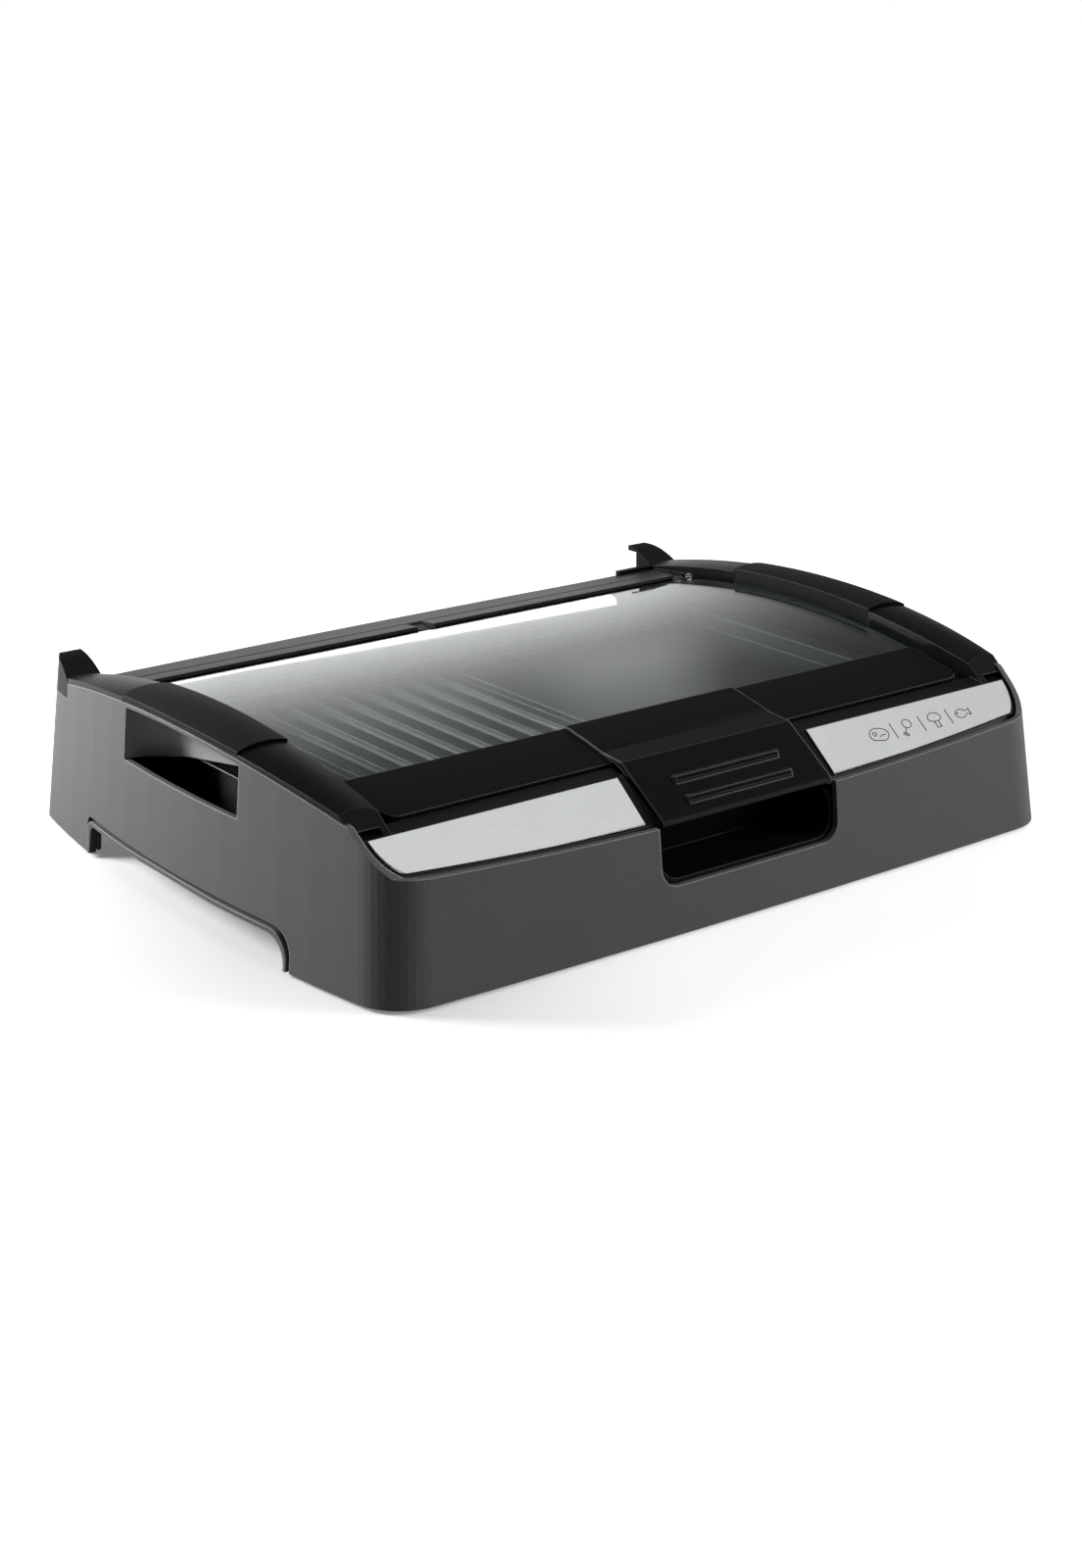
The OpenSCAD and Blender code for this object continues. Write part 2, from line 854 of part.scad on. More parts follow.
// Rest hook on a rear corner: a curved ramp in front and an overhanging tip behind
module hook() {
    ramp_w = tip_y - rear_step_y;
    ramp_rise = tip_h - hook_h0;
    chord = sqrt(ramp_w * ramp_w + ramp_rise * ramp_rise);
    lean = asin(chord / 2 / ramp_r) + atan(ramp_rise / ramp_w);
    intersection() {
        body_form(0, foot_h, form_h);
        along_x(rail_in + fit, body_w / 2)
            intersection() {
                translate([rear_step_y, pad_h])
                    square([ramp_w, form_h]);
                translate([rear_step_y + ramp_r * sin(lean), hook_h0 - ramp_r * cos(lean)])
                    circle(ramp_r, $fn = 180);
            }
        union() {
            box(0, body_w / 2, 0, body_d / 2, tip_h - tip_t, form_h);
            linear_extrude(height = form_h)
                polygon([[rail_in, rear_step_y], [rail_in, stem_y],
                    [body_w / 2, stem_y + body_w / 2 - rail_in], [body_w / 2, rear_step_y]]);
        }
    }
}

module hook_left() {
    color([0.16, 0.16, 0.17])
        mirror([1, 0, 0])
            hook();
}

// The right hook has a small tab that reaches inwards behind the rear bar
module hook_right() {
    color([0.16, 0.16, 0.17])
        union() {
            hook();
            box(rail_in - tab_w, rail_in - fit, rear_step_y + fit, rear_step_y + fit + tab_t, deck_h, tab_h);
            box(rail_in - 1, rail_in + 1, rear_step_y + fit, rear_step_y + fit + tab_t, pad_h, tab_h);
        }
}

// Base plate with a skirt that lines the foot of the housing
module base_plate() {
    color([0.06, 0.06, 0.06])
        difference() {
            intersection() {
                body_form(wall + skirt_gap, foot_h + skirt_up, base_z0 + base_t);
                union() {
                    box(-body_w, body_w, -body_d, body_d, base_z0, base_z0 + base_t);
                    difference() {
                        box(-body_w, body_w, -body_d, body_d, 0, base_z0 + eps);
                        body_form(wall + skirt_gap + skirt_t, foot_h, base_z0 + base_t);
                    }
                    foot_cups();
                }
            }
            side_arches(skirt_peek, body_w);
            base_screw_holes();
            for (x = [-foot_x, foot_x], y = [-foot_y, foot_y]) {
                translate([x, y, cup_floor])
                    cylinder(r = foot_r, h = base_z0, $fn = 48);
                translate([x, y, 0])
                    cylinder(r = stub_r, h = base_z0, $fn = 32);
            }
            vent_slots();
        }
}

// Cups in the corners of the base plate that carry the feet
module foot_cups() {
    for (x = [-foot_x, foot_x], y = [-foot_y, foot_y])
        translate([x, y, foot_h + skirt_up])
            cylinder(r = foot_r + skirt_t, h = base_z0 - foot_h, $fn = 48);
}

// Cooling slots through the middle of the base plate
module vent_slots() {
    for (i = [-3 : 3])
        translate([i * vent_pitch, 0, base_z0 - 1])
            linear_extrude(height = base_t + 2)
                rounded_rect(-vent_w / 2, vent_w / 2, -vent_len / 2, vent_len / 2, vent_w / 2 - eps);
}

// Insert in a hand opening: a back wall with a curved cheek at each end, and a strip behind the sill
module recess() {
    in_x = rail_in + frame_wall + fit;
    intersection() {
        body_form(wall + cheek_gap, foot_h, form_h);
        under_arch(top_axis_z, top_r, -rail_skin - fit);
        translate([0, 0, hand_h])
            linear_extrude(height = form_h)
                difference() {
                    rounded_rect(in_x, body_w, hand_y0 - cheek_t, hand_y1 + cheek_t, cheek_r + cheek_t);
                    rounded_rect(in_x + cheek_t, 2 * body_w, hand_y0, hand_y1, cheek_r);
                }
    }
    difference() {
        intersection() {
            body_form(wall + cheek_gap, foot_h, form_h);
            box(in_x, body_w / 2, hand_y0 - cheek_t, hand_y1 + cheek_t, hand_h - sill_t, hand_h + eps);
        }
        body_form(wall + cheek_gap + cheek_t, foot_h, form_h);
    }
}

module recess_left() {
    color([0.25, 0.25, 0.26])
        mirror([1, 0, 0])
            recess();
}

module recess_right() {
    color([0.25, 0.25, 0.26])
        recess();
}

// Pressed steel pan that holds the tray and hangs by its flange under the frame
module pan() {
    color([0.3, 0.3, 0.31])
        difference() {
            union() {
                translate([0, 0, pan_floor_h])
                    linear_extrude(height = pan_rim_h - pan_floor_h)
                        rounded_rect(-pan_x, pan_x, pan_y0, pan_y1, pan_r);
                translate([0, 0, pan_rim_h - sheet])
                    linear_extrude(height = sheet)
                        rounded_rect(-rail_in - frame_wall, rail_in + frame_wall, -ledge_y + fit, bar_y + frame_wall, pan_r);
            }
            translate([0, 0, pan_floor_h + sheet])
                linear_extrude(height = pan_rim_h)
                    rounded_rect(sheet - pan_x, pan_x - sheet, pan_y0 + sheet, pan_y1 - sheet, pan_r - sheet);
            box(socket_x - pin_pitch / 2 - tube_r - fit, socket_x + pin_pitch / 2 + tube_r + fit,
                pan_y1 - 2 * sheet, pan_y1 + sheet, tube_h - sleeve_r - fit, tube_h + sleeve_r + fit);
        }
}

// Spacers that hold the floor of the pan off the base plate
module pan_posts() {
    color([0.6, 0.6, 0.6])
        for (x = [-post_x, post_x], y = [post_y0, post_y1])
            translate([x, y, base_z0 + base_t])
                cylinder(r = post_r, h = pan_floor_h - base_z0 - base_t, $fn = 48);
}

// Drip tray on the floor of the pan, with a turned-out rim
module drip_tray() {
    z0 = pan_floor_h + sheet;
    color([0.45, 0.45, 0.46])
        difference() {
            union() {
                translate([0, 0, z0])
                    linear_extrude(height = tray_h)
                        rounded_rect(-tray_x, tray_x, tray_y0, tray_y1, tray_r);
                translate([0, 0, z0 + tray_h - sheet])
                    linear_extrude(height = sheet)
                        rounded_rect(-tray_x - tray_rim, tray_x + tray_rim, tray_y0 - tray_rim, tray_y1 + tray_rim,
                            tray_r + tray_rim);
            }
            translate([0, 0, z0 + sheet])
                linear_extrude(height = tray_h)
                    rounded_rect(sheet - tray_x, tray_x - sheet, tray_y0 + sheet, tray_y1 - sheet, tray_r - sheet);
        }
}

// Heating tube bent to and fro under the plate, with both ends led out to the rear
module heating_tube() {
    x_in = socket_x - pin_pitch / 2;
    x_out = socket_x + pin_pitch / 2;
    color([0.4, 0.4, 0.4])
        translate([0, 0, tube_h])
            union() {
                tube_run(-loop_x, x_out - tube_bend, loop_y(0));
                tube_run(-loop_x, loop_in_x, loop_y(1));
                tube_run(-loop_x, loop_in_x, loop_y(2));
                tube_run(-loop_x, x_in - tube_bend, loop_y(3));
                tube_elbow(-loop_x, loop_y(0.5), loop_pitch / 2, 90, 180);
                tube_elbow(loop_in_x, loop_y(1.5), loop_pitch / 2, -90, 180);
                tube_elbow(-loop_x, loop_y(2.5), loop_pitch / 2, 90, 180);
                tube_elbow(x_out - tube_bend, loop_y(0) + tube_bend, tube_bend, -90, 90);
                tube_elbow(x_in - tube_bend, loop_y(3) + tube_bend, tube_bend, -90, 90);
                hole_y(x_out, 0, tube_r, loop_y(0) + tube_bend, pin_y0);
                hole_y(x_in, 0, tube_r, loop_y(3) + tube_bend, pin_y0);
            }
}

module tube_run(x0, x1, y) {
    translate([x0, y, 0])
        rotate([0, 90, 0])
            cylinder(r = tube_r, h = x1 - x0, $fn = 48);
}

module tube_elbow(x, y, r, a0, sweep) {
    translate([x, y, 0])
        rotate([0, 0, a0])
            rotate_extrude(angle = sweep, $fn = 96)
                translate([r, 0])
                    circle(tube_r, $fn = 48);
}

// Steel strips across the pan that carry the heating tube, with a strap over each run
module tube_clips() {
    strip_top = tube_h - tube_r;
    strap_d = tube_r + strip_t;
    color([0.6, 0.6, 0.6])
        difference() {
            for (i = [0 : 2])
                translate([clip_x0 + i * clip_step, 0, 0]) {
                    box(-clip_w / 2, clip_w / 2, pan_y0 + sheet, pan_y1 - sheet, strip_top - strip_t, strip_top);
                    for (k = [0 : 3])
                        box(-clip_w / 4, clip_w / 4, loop_y(k) - strap_d, loop_y(k) + strap_d,
                            strip_top - strip_t, tube_h + strap_d - sheet / 2);
                }
            translate([0, 0, tube_h])
                for (k = [0 : 3])
                    tube_run(-loop_x, loop_in_x, loop_y(k));
        }
}

// Cast cooking plate: ribbed on the left, smooth on the right, hung by its rim
module cooking_plate() {
    color([0.12, 0.12, 0.12])
        difference() {
            union() {
                difference() {
                    union() {
                        translate([0, 0, plate_h])
                            linear_extrude(height = rim_top - plate_h)
                                rounded_rect(-plate_x, plate_x, plate_y0, plate_y1, plate_r);
                        translate([0, 0, pan_rim_h])
                            linear_extrude(height = rim_top - pan_rim_h)
                                rounded_rect(-plate_x - plate_lip, plate_x + plate_lip,
                                    plate_y0 - plate_lip / 2, plate_y1 + plate_lip, plate_r + plate_lip);
                    }
                    translate([0, 0, plate_h + plate_t])
                        linear_extrude(height = plate_t + rim_top)
                            rounded_rect(plate_t - plate_x, plate_x - plate_t, plate_y0 + plate_t, plate_y1 - plate_t,
                                plate_r - plate_t);
                }
                for (i = [0 : rib_count - 1])
                    plate_rib(-rib_edge - i * rib_pitch);
                box(-divider_t / 2, divider_t / 2, plate_y0 + drain_y, plate_y1 - plate_t, plate_h + plate_t - eps,
                    plate_h + plate_t + plate_rib_h);
            }
            drain_slots();
        }
}

// Rounded rib that runs from front to back
module plate_rib(x) {
    y0 = plate_y0 + drain_y;
    y1 = plate_y1 - plate_t - rib_w;
    z0 = plate_h + plate_t;
    crest = rib_w / 3;
    along_y(y0, y1) {
        polygon([[x - rib_w / 2, z0 - eps], [x + rib_w / 2, z0 - eps],
            [x + crest, z0 + plate_rib_h - crest], [x - crest, z0 + plate_rib_h - crest]]);
        translate([x, z0 + plate_rib_h - crest])
            circle(crest, $fn = 32);
    }
}

// Slots near the front edge through which fat runs down into the tray
module drain_slots() {
    for (x = [-drain_x, drain_x])
        translate([x, plate_y0 + drain_y / 2 + plate_t / 2, plate_h - 1])
            linear_extrude(height = plate_t + 2)
                rounded_rect(-drain_len / 2, drain_len / 2, -drain_w / 2, drain_w / 2, drain_w / 2 - eps);
}

// Inlet: a cup in the rear wall with the contact pins and the probe sleeve in its floor
module socket() {
    w = socket_w / 2 - fit;
    floor_y = socket_y0 + socket_t;
    color([0.05, 0.05, 0.05])
        difference() {
            union() {
                intersection() {
                    body_form(rim_set, foot_h, form_h);
                    box(socket_x - w, socket_x + w, socket_y0, body_d / 2, socket_z0 + fit, socket_z0 + socket_d - fit);
                }
                box(socket_x - w - flange_w, socket_x + w + flange_w, flange_y - socket_t, flange_y,
                    socket_z0 - flange_w, socket_z0 + socket_d - fit);
            }
            box(socket_x - w + socket_t, socket_x + w - socket_t, floor_y, body_d, socket_z0 + fit + socket_t,
                socket_z0 + socket_d - fit - socket_t);
            for (x = [socket_x - pin_pitch / 2, socket_x + pin_pitch / 2])
                hole_y(x, tube_h, contact_r, socket_y0 - 1, floor_y + 1);
            hole_y(socket_x, tube_h, sleeve_r, socket_y0 - 1, floor_y + 1);
        }
}

// Two round pins on the ends of the heating tube, standing in the socket
module contact_pins() {
    color([0.8, 0.8, 0.8])
        for (x = [socket_x - pin_pitch / 2, socket_x + pin_pitch / 2]) {
            hole_y(x, tube_h, contact_r, pin_y0, pin_y1 - contact_r);
            translate([x, pin_y1 - contact_r, tube_h])
                sphere(r = contact_r, $fn = 48);
        }
}

// Sleeve that takes the feeler of the temperature control, from the socket to under the plate
module probe_sleeve() {
    color([0.8, 0.65, 0.3])
        difference() {
            hole_y(socket_x, tube_h, sleeve_r, sleeve_y0, socket_y0 + socket_t + 2);
            hole_y(socket_x, tube_h, probe_r, sleeve_y0 + 2, socket_y0 + socket_t + 3);
        }
}

module bush() {
    translate([rail_in - bush_out, hinge_y, hinge_h])
        rotate([0, 90, 0])
            difference() {
                cylinder(r = bush_r, h = bush_out + frame_wall + 1, $fn = 48);
                translate([0, 0, -1])
                    cylinder(r = pin_r + run_fit, h = bush_out + frame_wall + 3, $fn = 48);
            }
}

module bush_left() {
    color("silver")
        mirror([1, 0, 0])
            bush();
}

module bush_right() {
    color("silver")
        bush();
}

// Rubber foot with a stub that is pressed into its cup
module foot(x, y) {
    color([0.05, 0.05, 0.05])
        translate([x, y, 0])
            union() {
                translate([0, 0, 1])
                    cylinder(r = foot_r - 1, h = foot_h + skirt_up - 1, $fn = 48);
                cylinder(r1 = foot_r - 2, r2 = foot_r - 1, h = 1, $fn = 48);
                cylinder(r = stub_r, h = cup_floor + 1, $fn = 32);
            }
}

module foot_front_left() {
    foot(-foot_x, -foot_y);
}

module foot_front_right() {
    foot(foot_x, -foot_y);
}

module foot_rear_left() {
    foot(-foot_x, foot_y);
}

module foot_rear_right() {
    foot(foot_x, foot_y);
}

module base_screws() {
    color([0.6, 0.6, 0.6])
        for (x = [-boss_x, boss_x], y = [-boss_y, boss_y])
            translate([x, y, base_z0 - head_h])
                difference() {
                    union() {
                        cylinder(r = screw_head_r, h = head_h, $fn = 32);
                        cylinder(r = screw_r, h = head_h + base_t + boss_len / 2, $fn = 24);
                    }
                    translate([0, 0, -1])
                        linear_extrude(height = 1 + head_h / 2)
                            for (a = [0, 90])
                                rotate(a)
                                    square([slot_len, slot_w], center = true);
                }
}

// Curved glass with rounded rear corners
module lid_glass() {
    color([0.6, 0.75, 0.75, 0.5])
        intersection() {
            arched(lid_axis_z, lid_r, -glass_y0, glass_y1 + glass_corner_r)
                translate([lid_r - glass_t, -lid_w / 2])
                    square([glass_t, lid_w]);
            linear_extrude(height = form_h)
                lid_plan(-glass_y0, glass_y1, glass_corner_r);
        }
}

// Outline of the lid from a straight edge at y0 to an edge with rounded corners at y1
module lid_plan(y0, y1, corner) {
    w = lid_w / 2;
    translate([-w, y0])
        square([2 * w, y1 - y0 - corner]);
    translate([corner - w, y0])
        square([2 * (w - corner), y1 - y0]);
    for (x = [corner - w, w - corner])
        translate([x, y1 - corner])
            circle(corner, $fn = 64);
}

// Moulded band that grips the front edge of the glass
module lid_band() {
    w = lid_w / 2;
    slot_y = -glass_y0 - glue;
    color([0.09, 0.09, 0.095])
        difference() {
            intersection() {
                arched(lid_axis_z, lid_r, -lid_y0 - 1, -band_y1)
                    translate([lid_r - glass_t - band_foot, -w])
                        square([glass_t + band_foot + band_rise, 2 * w]);
                linear_extrude(height = form_h)
                    mirror([0, 1, 0])
                        lid_plan(0, lid_y0, band_corner_r);
            }
            arched(lid_axis_z, lid_r, slot_y, -band_y1 + 1)
                translate([lid_r / 2, -w - 1])
                    square([lid_r / 2 + glue, 2 * w + 2]);
            for (x = [-stud_x, stud_x])
                translate([x, -stud_y, 0]) {
                    cylinder(r = stud_r + fit, h = web_z, $fn = 32);
                    cylinder(r = screw_r, h = form_h, $fn = 24);
                    translate([0, 0, web_z + band_web])
                        cylinder(r = stud_r, h = form_h, $fn = 32);
                }
        }
}

// Broad handle over the middle of the band, folded down over the fascia to a rounded nose
module lid_handle() {
    slope = atan((fold_h - nose_h) / (nose_y - fold_y));
    drop = handle_t / cos(slope);
    nose_r = handle_t / 2;
    nose_mid = [-nose_y + nose_r * (cos(slope) + sin(slope)), nose_h + nose_r * (sin(slope) - cos(slope))];
    slab_r = lid_r + band_rise + handle_up / 2;
    slab_y = lid_y0 - band_d / 3;
    root_y = lid_y0 - eps * 50;
    color([0.09, 0.09, 0.095])
        difference() {
            union() {
                arched(lid_axis_z, lid_r, -lid_y0, -band_y1)
                    translate([lid_r + band_rise, -handle_half_w])
                        square([handle_up, 2 * handle_half_w]);
                along_x(-handle_half_w + eps, handle_half_w - eps)
                    polygon(concat([[-slab_y, arc_z(lid_axis_z, slab_r, slab_y)], [-fold_y, fold_h]],
                        [for (a = [0 : 22.5 : 180])
                            nose_mid + nose_r * [-sin(slope + a), cos(slope + a)]],
                        [[-fold_y, fold_h - drop], [-root_y, arc_z(lid_axis_z, slab_r, root_y)]]));
                for (y = [rib_y0, rib_y0 + rib_step])
                    handle_rib(-y);
                for (x = [-stud_x, stud_x])
                    translate([x, -stud_y, web_z + band_web])
                        cylinder(r = stud_r, h = arc_z(lid_axis_z, slab_r, stud_y) - web_z - band_web, $fn = 32);
            }
            for (x = [-stud_x, stud_x])
                translate([x, -stud_y, 0])
                    cylinder(r = screw_r, h = fold_h - 2, $fn = 24);
        }
}

// Finger rib across the handle
module handle_rib(y) {
    along_x(-rib_half_w, rib_half_w)
        polygon([[y - rib_h, handle_z(y - rib_h) - 1], [y - rib_h, handle_z(y - rib_h) + rib_h * 0.7],
            [y - rib_h / 2, handle_z(y) + rib_h], [y + rib_h / 2, handle_z(y) + rib_h],
            [y + rib_h, handle_z(y + rib_h) - 1]]);
}

// Hinge bracket glued under a rear corner of the glass, with the arm that carries its pin
module hinge() {
    arm_x = lid_w / 2 - 1;
    plate_y1 = glass_y1 - glass_corner_r / 4;
    union() {
        arched(lid_axis_z, lid_r, plate_y1 - bracket_d, plate_y1)
            translate([lid_r - glass_t - glue - bracket_t, arm_x - bracket_w])
                square([bracket_t, bracket_w]);
        along_x(arm_x - arm_t, arm_x) {
            translate([hinge_y, hinge_h])
                circle(pin_r + arm_rim, $fn = 48);
            polygon([[plate_y1 - bracket_d / 2, hinge_h - bracket_t], [hinge_y, hinge_h],
                [hinge_y, hinge_h - pin_r - arm_rim], [plate_y1 - bracket_d / 2, hinge_h - pin_r - arm_rim]]);
        }
        translate([arm_x - eps, hinge_y, hinge_h])
            rotate([0, 90, 0])
                cylinder(r = pin_r, h = rail_in + frame_wall - arm_x, $fn = 48);
    }
}

module hinge_left() {
    color([0.1, 0.1, 0.1])
        mirror([1, 0, 0])
            hinge();
}

module hinge_right() {
    color([0.1, 0.1, 0.1])
        hinge();
}

// Rubber buffers under the front of the lid, standing on the shelf of the frame
module lid_buffers() {
    color([0.2, 0.2, 0.2])
        for (x = [-buffer_x, buffer_x])
            translate([x, -buffer_y, frame_bot + shelf_t])
                cylinder(r = buffer_r, h = buffer_top - frame_bot - shelf_t, $fn = 32);
}

// Screws up through the band into the studs of the handle
module handle_screws() {
    color([0.6, 0.6, 0.6])
        for (x = [-stud_x, stud_x])
            translate([x, -stud_y, web_z - head_h]) {
                cylinder(r = stud_r, h = head_h, $fn = 32);
                cylinder(r = screw_r, h = head_h + band_web + 4, $fn = 24);
            }
}

housing();
top_frame();
grip_left();
grip_right();
trim_left();
trim_right();
hook_left();
hook_right();
base_plate();
recess_left();
recess_right();
pan();
pan_posts();
drip_tray();
heating_tube();
tube_clips();
cooking_plate();
socket();
contact_pins();
probe_sleeve();
bush_left();
bush_right();
foot_front_left();
foot_front_right();
foot_rear_left();
foot_rear_right();
base_screws();
lid_glass();
lid_band();
lid_handle();
hinge_left();
hinge_right();
lid_buffers();
handle_screws();
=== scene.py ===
"""Looks of an electric table grill with a hinged glass lid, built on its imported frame.

One section per piece or group, in the order in which the grill is put together.
"""

import math

import bmesh
import bpy
from mathutils import Matrix, Vector
from mathutils.bvhtree import BVHTree


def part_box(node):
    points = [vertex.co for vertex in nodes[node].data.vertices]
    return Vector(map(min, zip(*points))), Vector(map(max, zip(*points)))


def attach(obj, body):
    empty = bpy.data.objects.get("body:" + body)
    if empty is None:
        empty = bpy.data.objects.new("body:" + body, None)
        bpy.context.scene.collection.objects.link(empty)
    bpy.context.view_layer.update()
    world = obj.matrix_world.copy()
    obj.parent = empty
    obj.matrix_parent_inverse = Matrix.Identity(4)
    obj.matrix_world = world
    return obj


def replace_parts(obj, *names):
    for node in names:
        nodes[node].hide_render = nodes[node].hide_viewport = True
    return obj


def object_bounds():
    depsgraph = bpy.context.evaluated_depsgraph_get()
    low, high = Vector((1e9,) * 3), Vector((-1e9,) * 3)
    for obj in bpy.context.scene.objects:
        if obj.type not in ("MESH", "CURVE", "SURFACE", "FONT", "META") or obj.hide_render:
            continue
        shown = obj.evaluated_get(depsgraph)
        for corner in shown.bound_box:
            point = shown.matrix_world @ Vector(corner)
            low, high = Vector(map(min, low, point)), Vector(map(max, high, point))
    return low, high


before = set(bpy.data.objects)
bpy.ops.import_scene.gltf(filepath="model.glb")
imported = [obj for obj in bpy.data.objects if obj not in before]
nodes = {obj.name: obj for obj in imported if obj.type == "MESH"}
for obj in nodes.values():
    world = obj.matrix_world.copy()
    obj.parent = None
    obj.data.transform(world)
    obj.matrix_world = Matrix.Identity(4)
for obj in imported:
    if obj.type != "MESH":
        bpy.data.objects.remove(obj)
cad_low, cad_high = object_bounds()

MM = 0.001

# HOUSING
# Outer shell moulded in satin anthracite plastic, with drafted walls, two hand openings and an
# arched foot on both sides. It has a fine spark-eroded grain, and its edges are slightly rounded
# and carry a painted highlight.


def node_group(name, inputs, outputs):
    """A shader node group with the named sockets, and its input and output nodes."""
    tree = bpy.data.node_groups.new(name, "ShaderNodeTree")
    for label, kind, value in inputs:
        socket = tree.interface.new_socket(label, in_out="INPUT", socket_type=kind)
        socket.default_value = value
    for label, kind in outputs:
        tree.interface.new_socket(label, in_out="OUTPUT", socket_type=kind)
    return tree, tree.nodes.new("NodeGroupInput"), tree.nodes.new("NodeGroupOutput")


def put(tree, kind, settings=None, **links):
    """Adds a node; settings are its properties, links are its sockets, by value or by the output that feeds them."""
    made = tree.nodes.new(kind)
    for key, value in (settings or {}).items():
        setattr(made, key, value)
    for key, value in links.items():
        by_number = key[0] == "i" and key[1:].isdigit()
        plug = made.inputs[int(key[1:])] if by_number else made.inputs[key.replace("_", " ")]
        if isinstance(value, bpy.types.NodeSocket):
            tree.links.new(value, plug)
        else:
            plug.default_value = value
    return made


def calc(tree, operation, a, b=0.0, c=0.0, clamp=False):
    """Output of a math node."""
    settings = {"operation": operation, "use_clamp": clamp}
    return put(tree, "ShaderNodeMath", settings, i0=a, i1=b, i2=c).outputs[0]


# Grain of a moulded surface: height for the bump, and the roughness that goes with it
grain_tree, grain_in, grain_out = node_group(
    "moulded_grain",
    [
        ("Scale", "NodeSocketFloat", 1400.0),
        ("Roughness", "NodeSocketFloat", 0.4),
        ("Spread", "NodeSocketFloat", 0.06),
    ],
    [("Height", "NodeSocketFloat"), ("Roughness", "NodeSocketFloat"), ("Tone", "NodeSocketFloat")],
)
where = put(grain_tree, "ShaderNodeTexCoord").outputs["Object"]
fine = put(
    grain_tree, "ShaderNodeTexNoise", Vector=where, Scale=grain_in.outputs["Scale"], Detail=3.0, Roughness=0.55
)
broad = put(grain_tree, "ShaderNodeTexNoise", Vector=where, Scale=22.0, Detail=4.0, Roughness=0.6)
swing = calc(grain_tree, "SUBTRACT", broad.outputs["Fac"], 0.5)
swing = calc(grain_tree, "MULTIPLY", swing, grain_in.outputs["Spread"])
pits = calc(grain_tree, "SUBTRACT", fine.outputs["Fac"], 0.5)
pits = calc(grain_tree, "MULTIPLY", pits, grain_in.outputs["Spread"])
uneven = calc(grain_tree, "ADD", swing, pits)
rough = calc(grain_tree, "ADD", uneven, grain_in.outputs["Roughness"], clamp=True)
grain_tree.links.new(fine.outputs["Fac"], grain_out.inputs["Height"])
grain_tree.links.new(rough, grain_out.inputs["Roughness"])
grain_tree.links.new(broad.outputs["Fac"], grain_out.inputs["Tone"])

# Rounded edge: the softened normal, and a mask that is 1 on the crest of an edge
edge_tree, edge_in, edge_out = node_group(
    "rounded_edge",
    [("Radius", "NodeSocketFloat", 0.0007), ("Gain", "NodeSocketFloat", 6.0)],
    [("Normal", "NodeSocketVector"), ("Crest", "NodeSocketFloat")],
)
soft = put(edge_tree, "ShaderNodeBevel", {"samples": 4}, Radius=edge_in.outputs["Radius"])
flat = put(edge_tree, "ShaderNodeNewGeometry")
alike = put(
    edge_tree, "ShaderNodeVectorMath", {"operation": "DOT_PRODUCT"}, i0=soft.outputs[0], i1=flat.outputs["Normal"]
)
crest = calc(edge_tree, "SUBTRACT", 1.0, alike.outputs["Value"])
crest = calc(edge_tree, "MULTIPLY", crest, edge_in.outputs["Gain"], clamp=True)
edge_tree.links.new(soft.outputs[0], edge_out.inputs["Normal"])
edge_tree.links.new(crest, edge_out.inputs["Crest"])


def finish_of(name):
    """A new node material, with its node tree and its Principled shader."""
    made = bpy.data.materials.new(name)
    made.use_nodes = True
    return made, made.node_tree, made.node_tree.nodes["Principled BSDF"]


def use_group(tree, group, **values):
    """Places a node group in a material with its own values."""
    made = tree.nodes.new("ShaderNodeGroup")
    made.node_tree = group
    for key, value in values.items():
        made.inputs[key].default_value = value
    return made


def blend(tree, factor, first, second):
    """Mix of two colours, each of them a value or an output."""
    made = put(tree, "ShaderNodeMix", {"data_type": "RGBA"}, Factor=factor)
    for plug, colour in ((made.inputs[6], first), (made.inputs[7], second)):
        if isinstance(colour, bpy.types.NodeSocket):
            tree.links.new(colour, plug)
        else:
            plug.default_value = (*colour, 1.0)
    return made.outputs[2]


def moulded(name, dark, light, painted_edge_highlight, roughness, depth, scale=1400.0, radius=0.0007, gloss=0.5):
    """Moulded plastic: two close tones, a painted highlight tone on the edges, grain and rounded edges."""
    made, tree, shader = finish_of(name)
    grain = use_group(tree, grain_tree, Scale=scale, Roughness=roughness)
    edge = use_group(tree, edge_tree, Radius=radius)
    body = blend(tree, grain.outputs["Tone"], dark, light)
    bump = put(
        tree,
        "ShaderNodeBump",
        Strength=0.35,
        Distance=depth,
        Height=grain.outputs["Height"],
        Normal=edge.outputs["Normal"],
    )
    # Painted highlight: the crests of the edges take a lighter tone in the base colour
    tree.links.new(blend(tree, edge.outputs["Crest"], body, painted_edge_highlight), shader.inputs["Base Color"])
    tree.links.new(grain.outputs["Roughness"], shader.inputs["Roughness"])
    tree.links.new(bump.outputs[0], shader.inputs["Normal"])
    shader.inputs["IOR"].default_value = 1.48
    shader.inputs["Specular IOR Level"].default_value = gloss
    return made


def paint(material, *names):
    """Gives CAD nodes a finish."""
    for name in names:
        mesh = nodes[name].data
        mesh.materials.clear()
        mesh.materials.append(material)


# Its third tone is the painted highlight along the edges
anthracite = moulded(
    "anthracite_moulding",
    (0.12, 0.12, 0.121),
    (0.134, 0.134, 0.135),
    (0.46, 0.46, 0.464),
    roughness=0.42,
    depth=0.00006,
    radius=0.0011,
    gloss=0.1,
)
paint(anthracite, "housing")

# FOOT ARCH RIMS
# Moulded strip that follows the arch in the foot of each side wall, with a thin open joint to the
# wall. It is held behind the wall, where the dark skirt of the base plate shows through the joint.
shell_mesh = nodes["housing"].data
shell_tree = BVHTree.FromPolygons([v.co for v in shell_mesh.vertices], [f.vertices for f in shell_mesh.polygons])
beside_all = 0.3  # X of a plane that lies wholly beside the grill
sharp_from = math.radians(40)  # edges that turn by more than this stay sharp


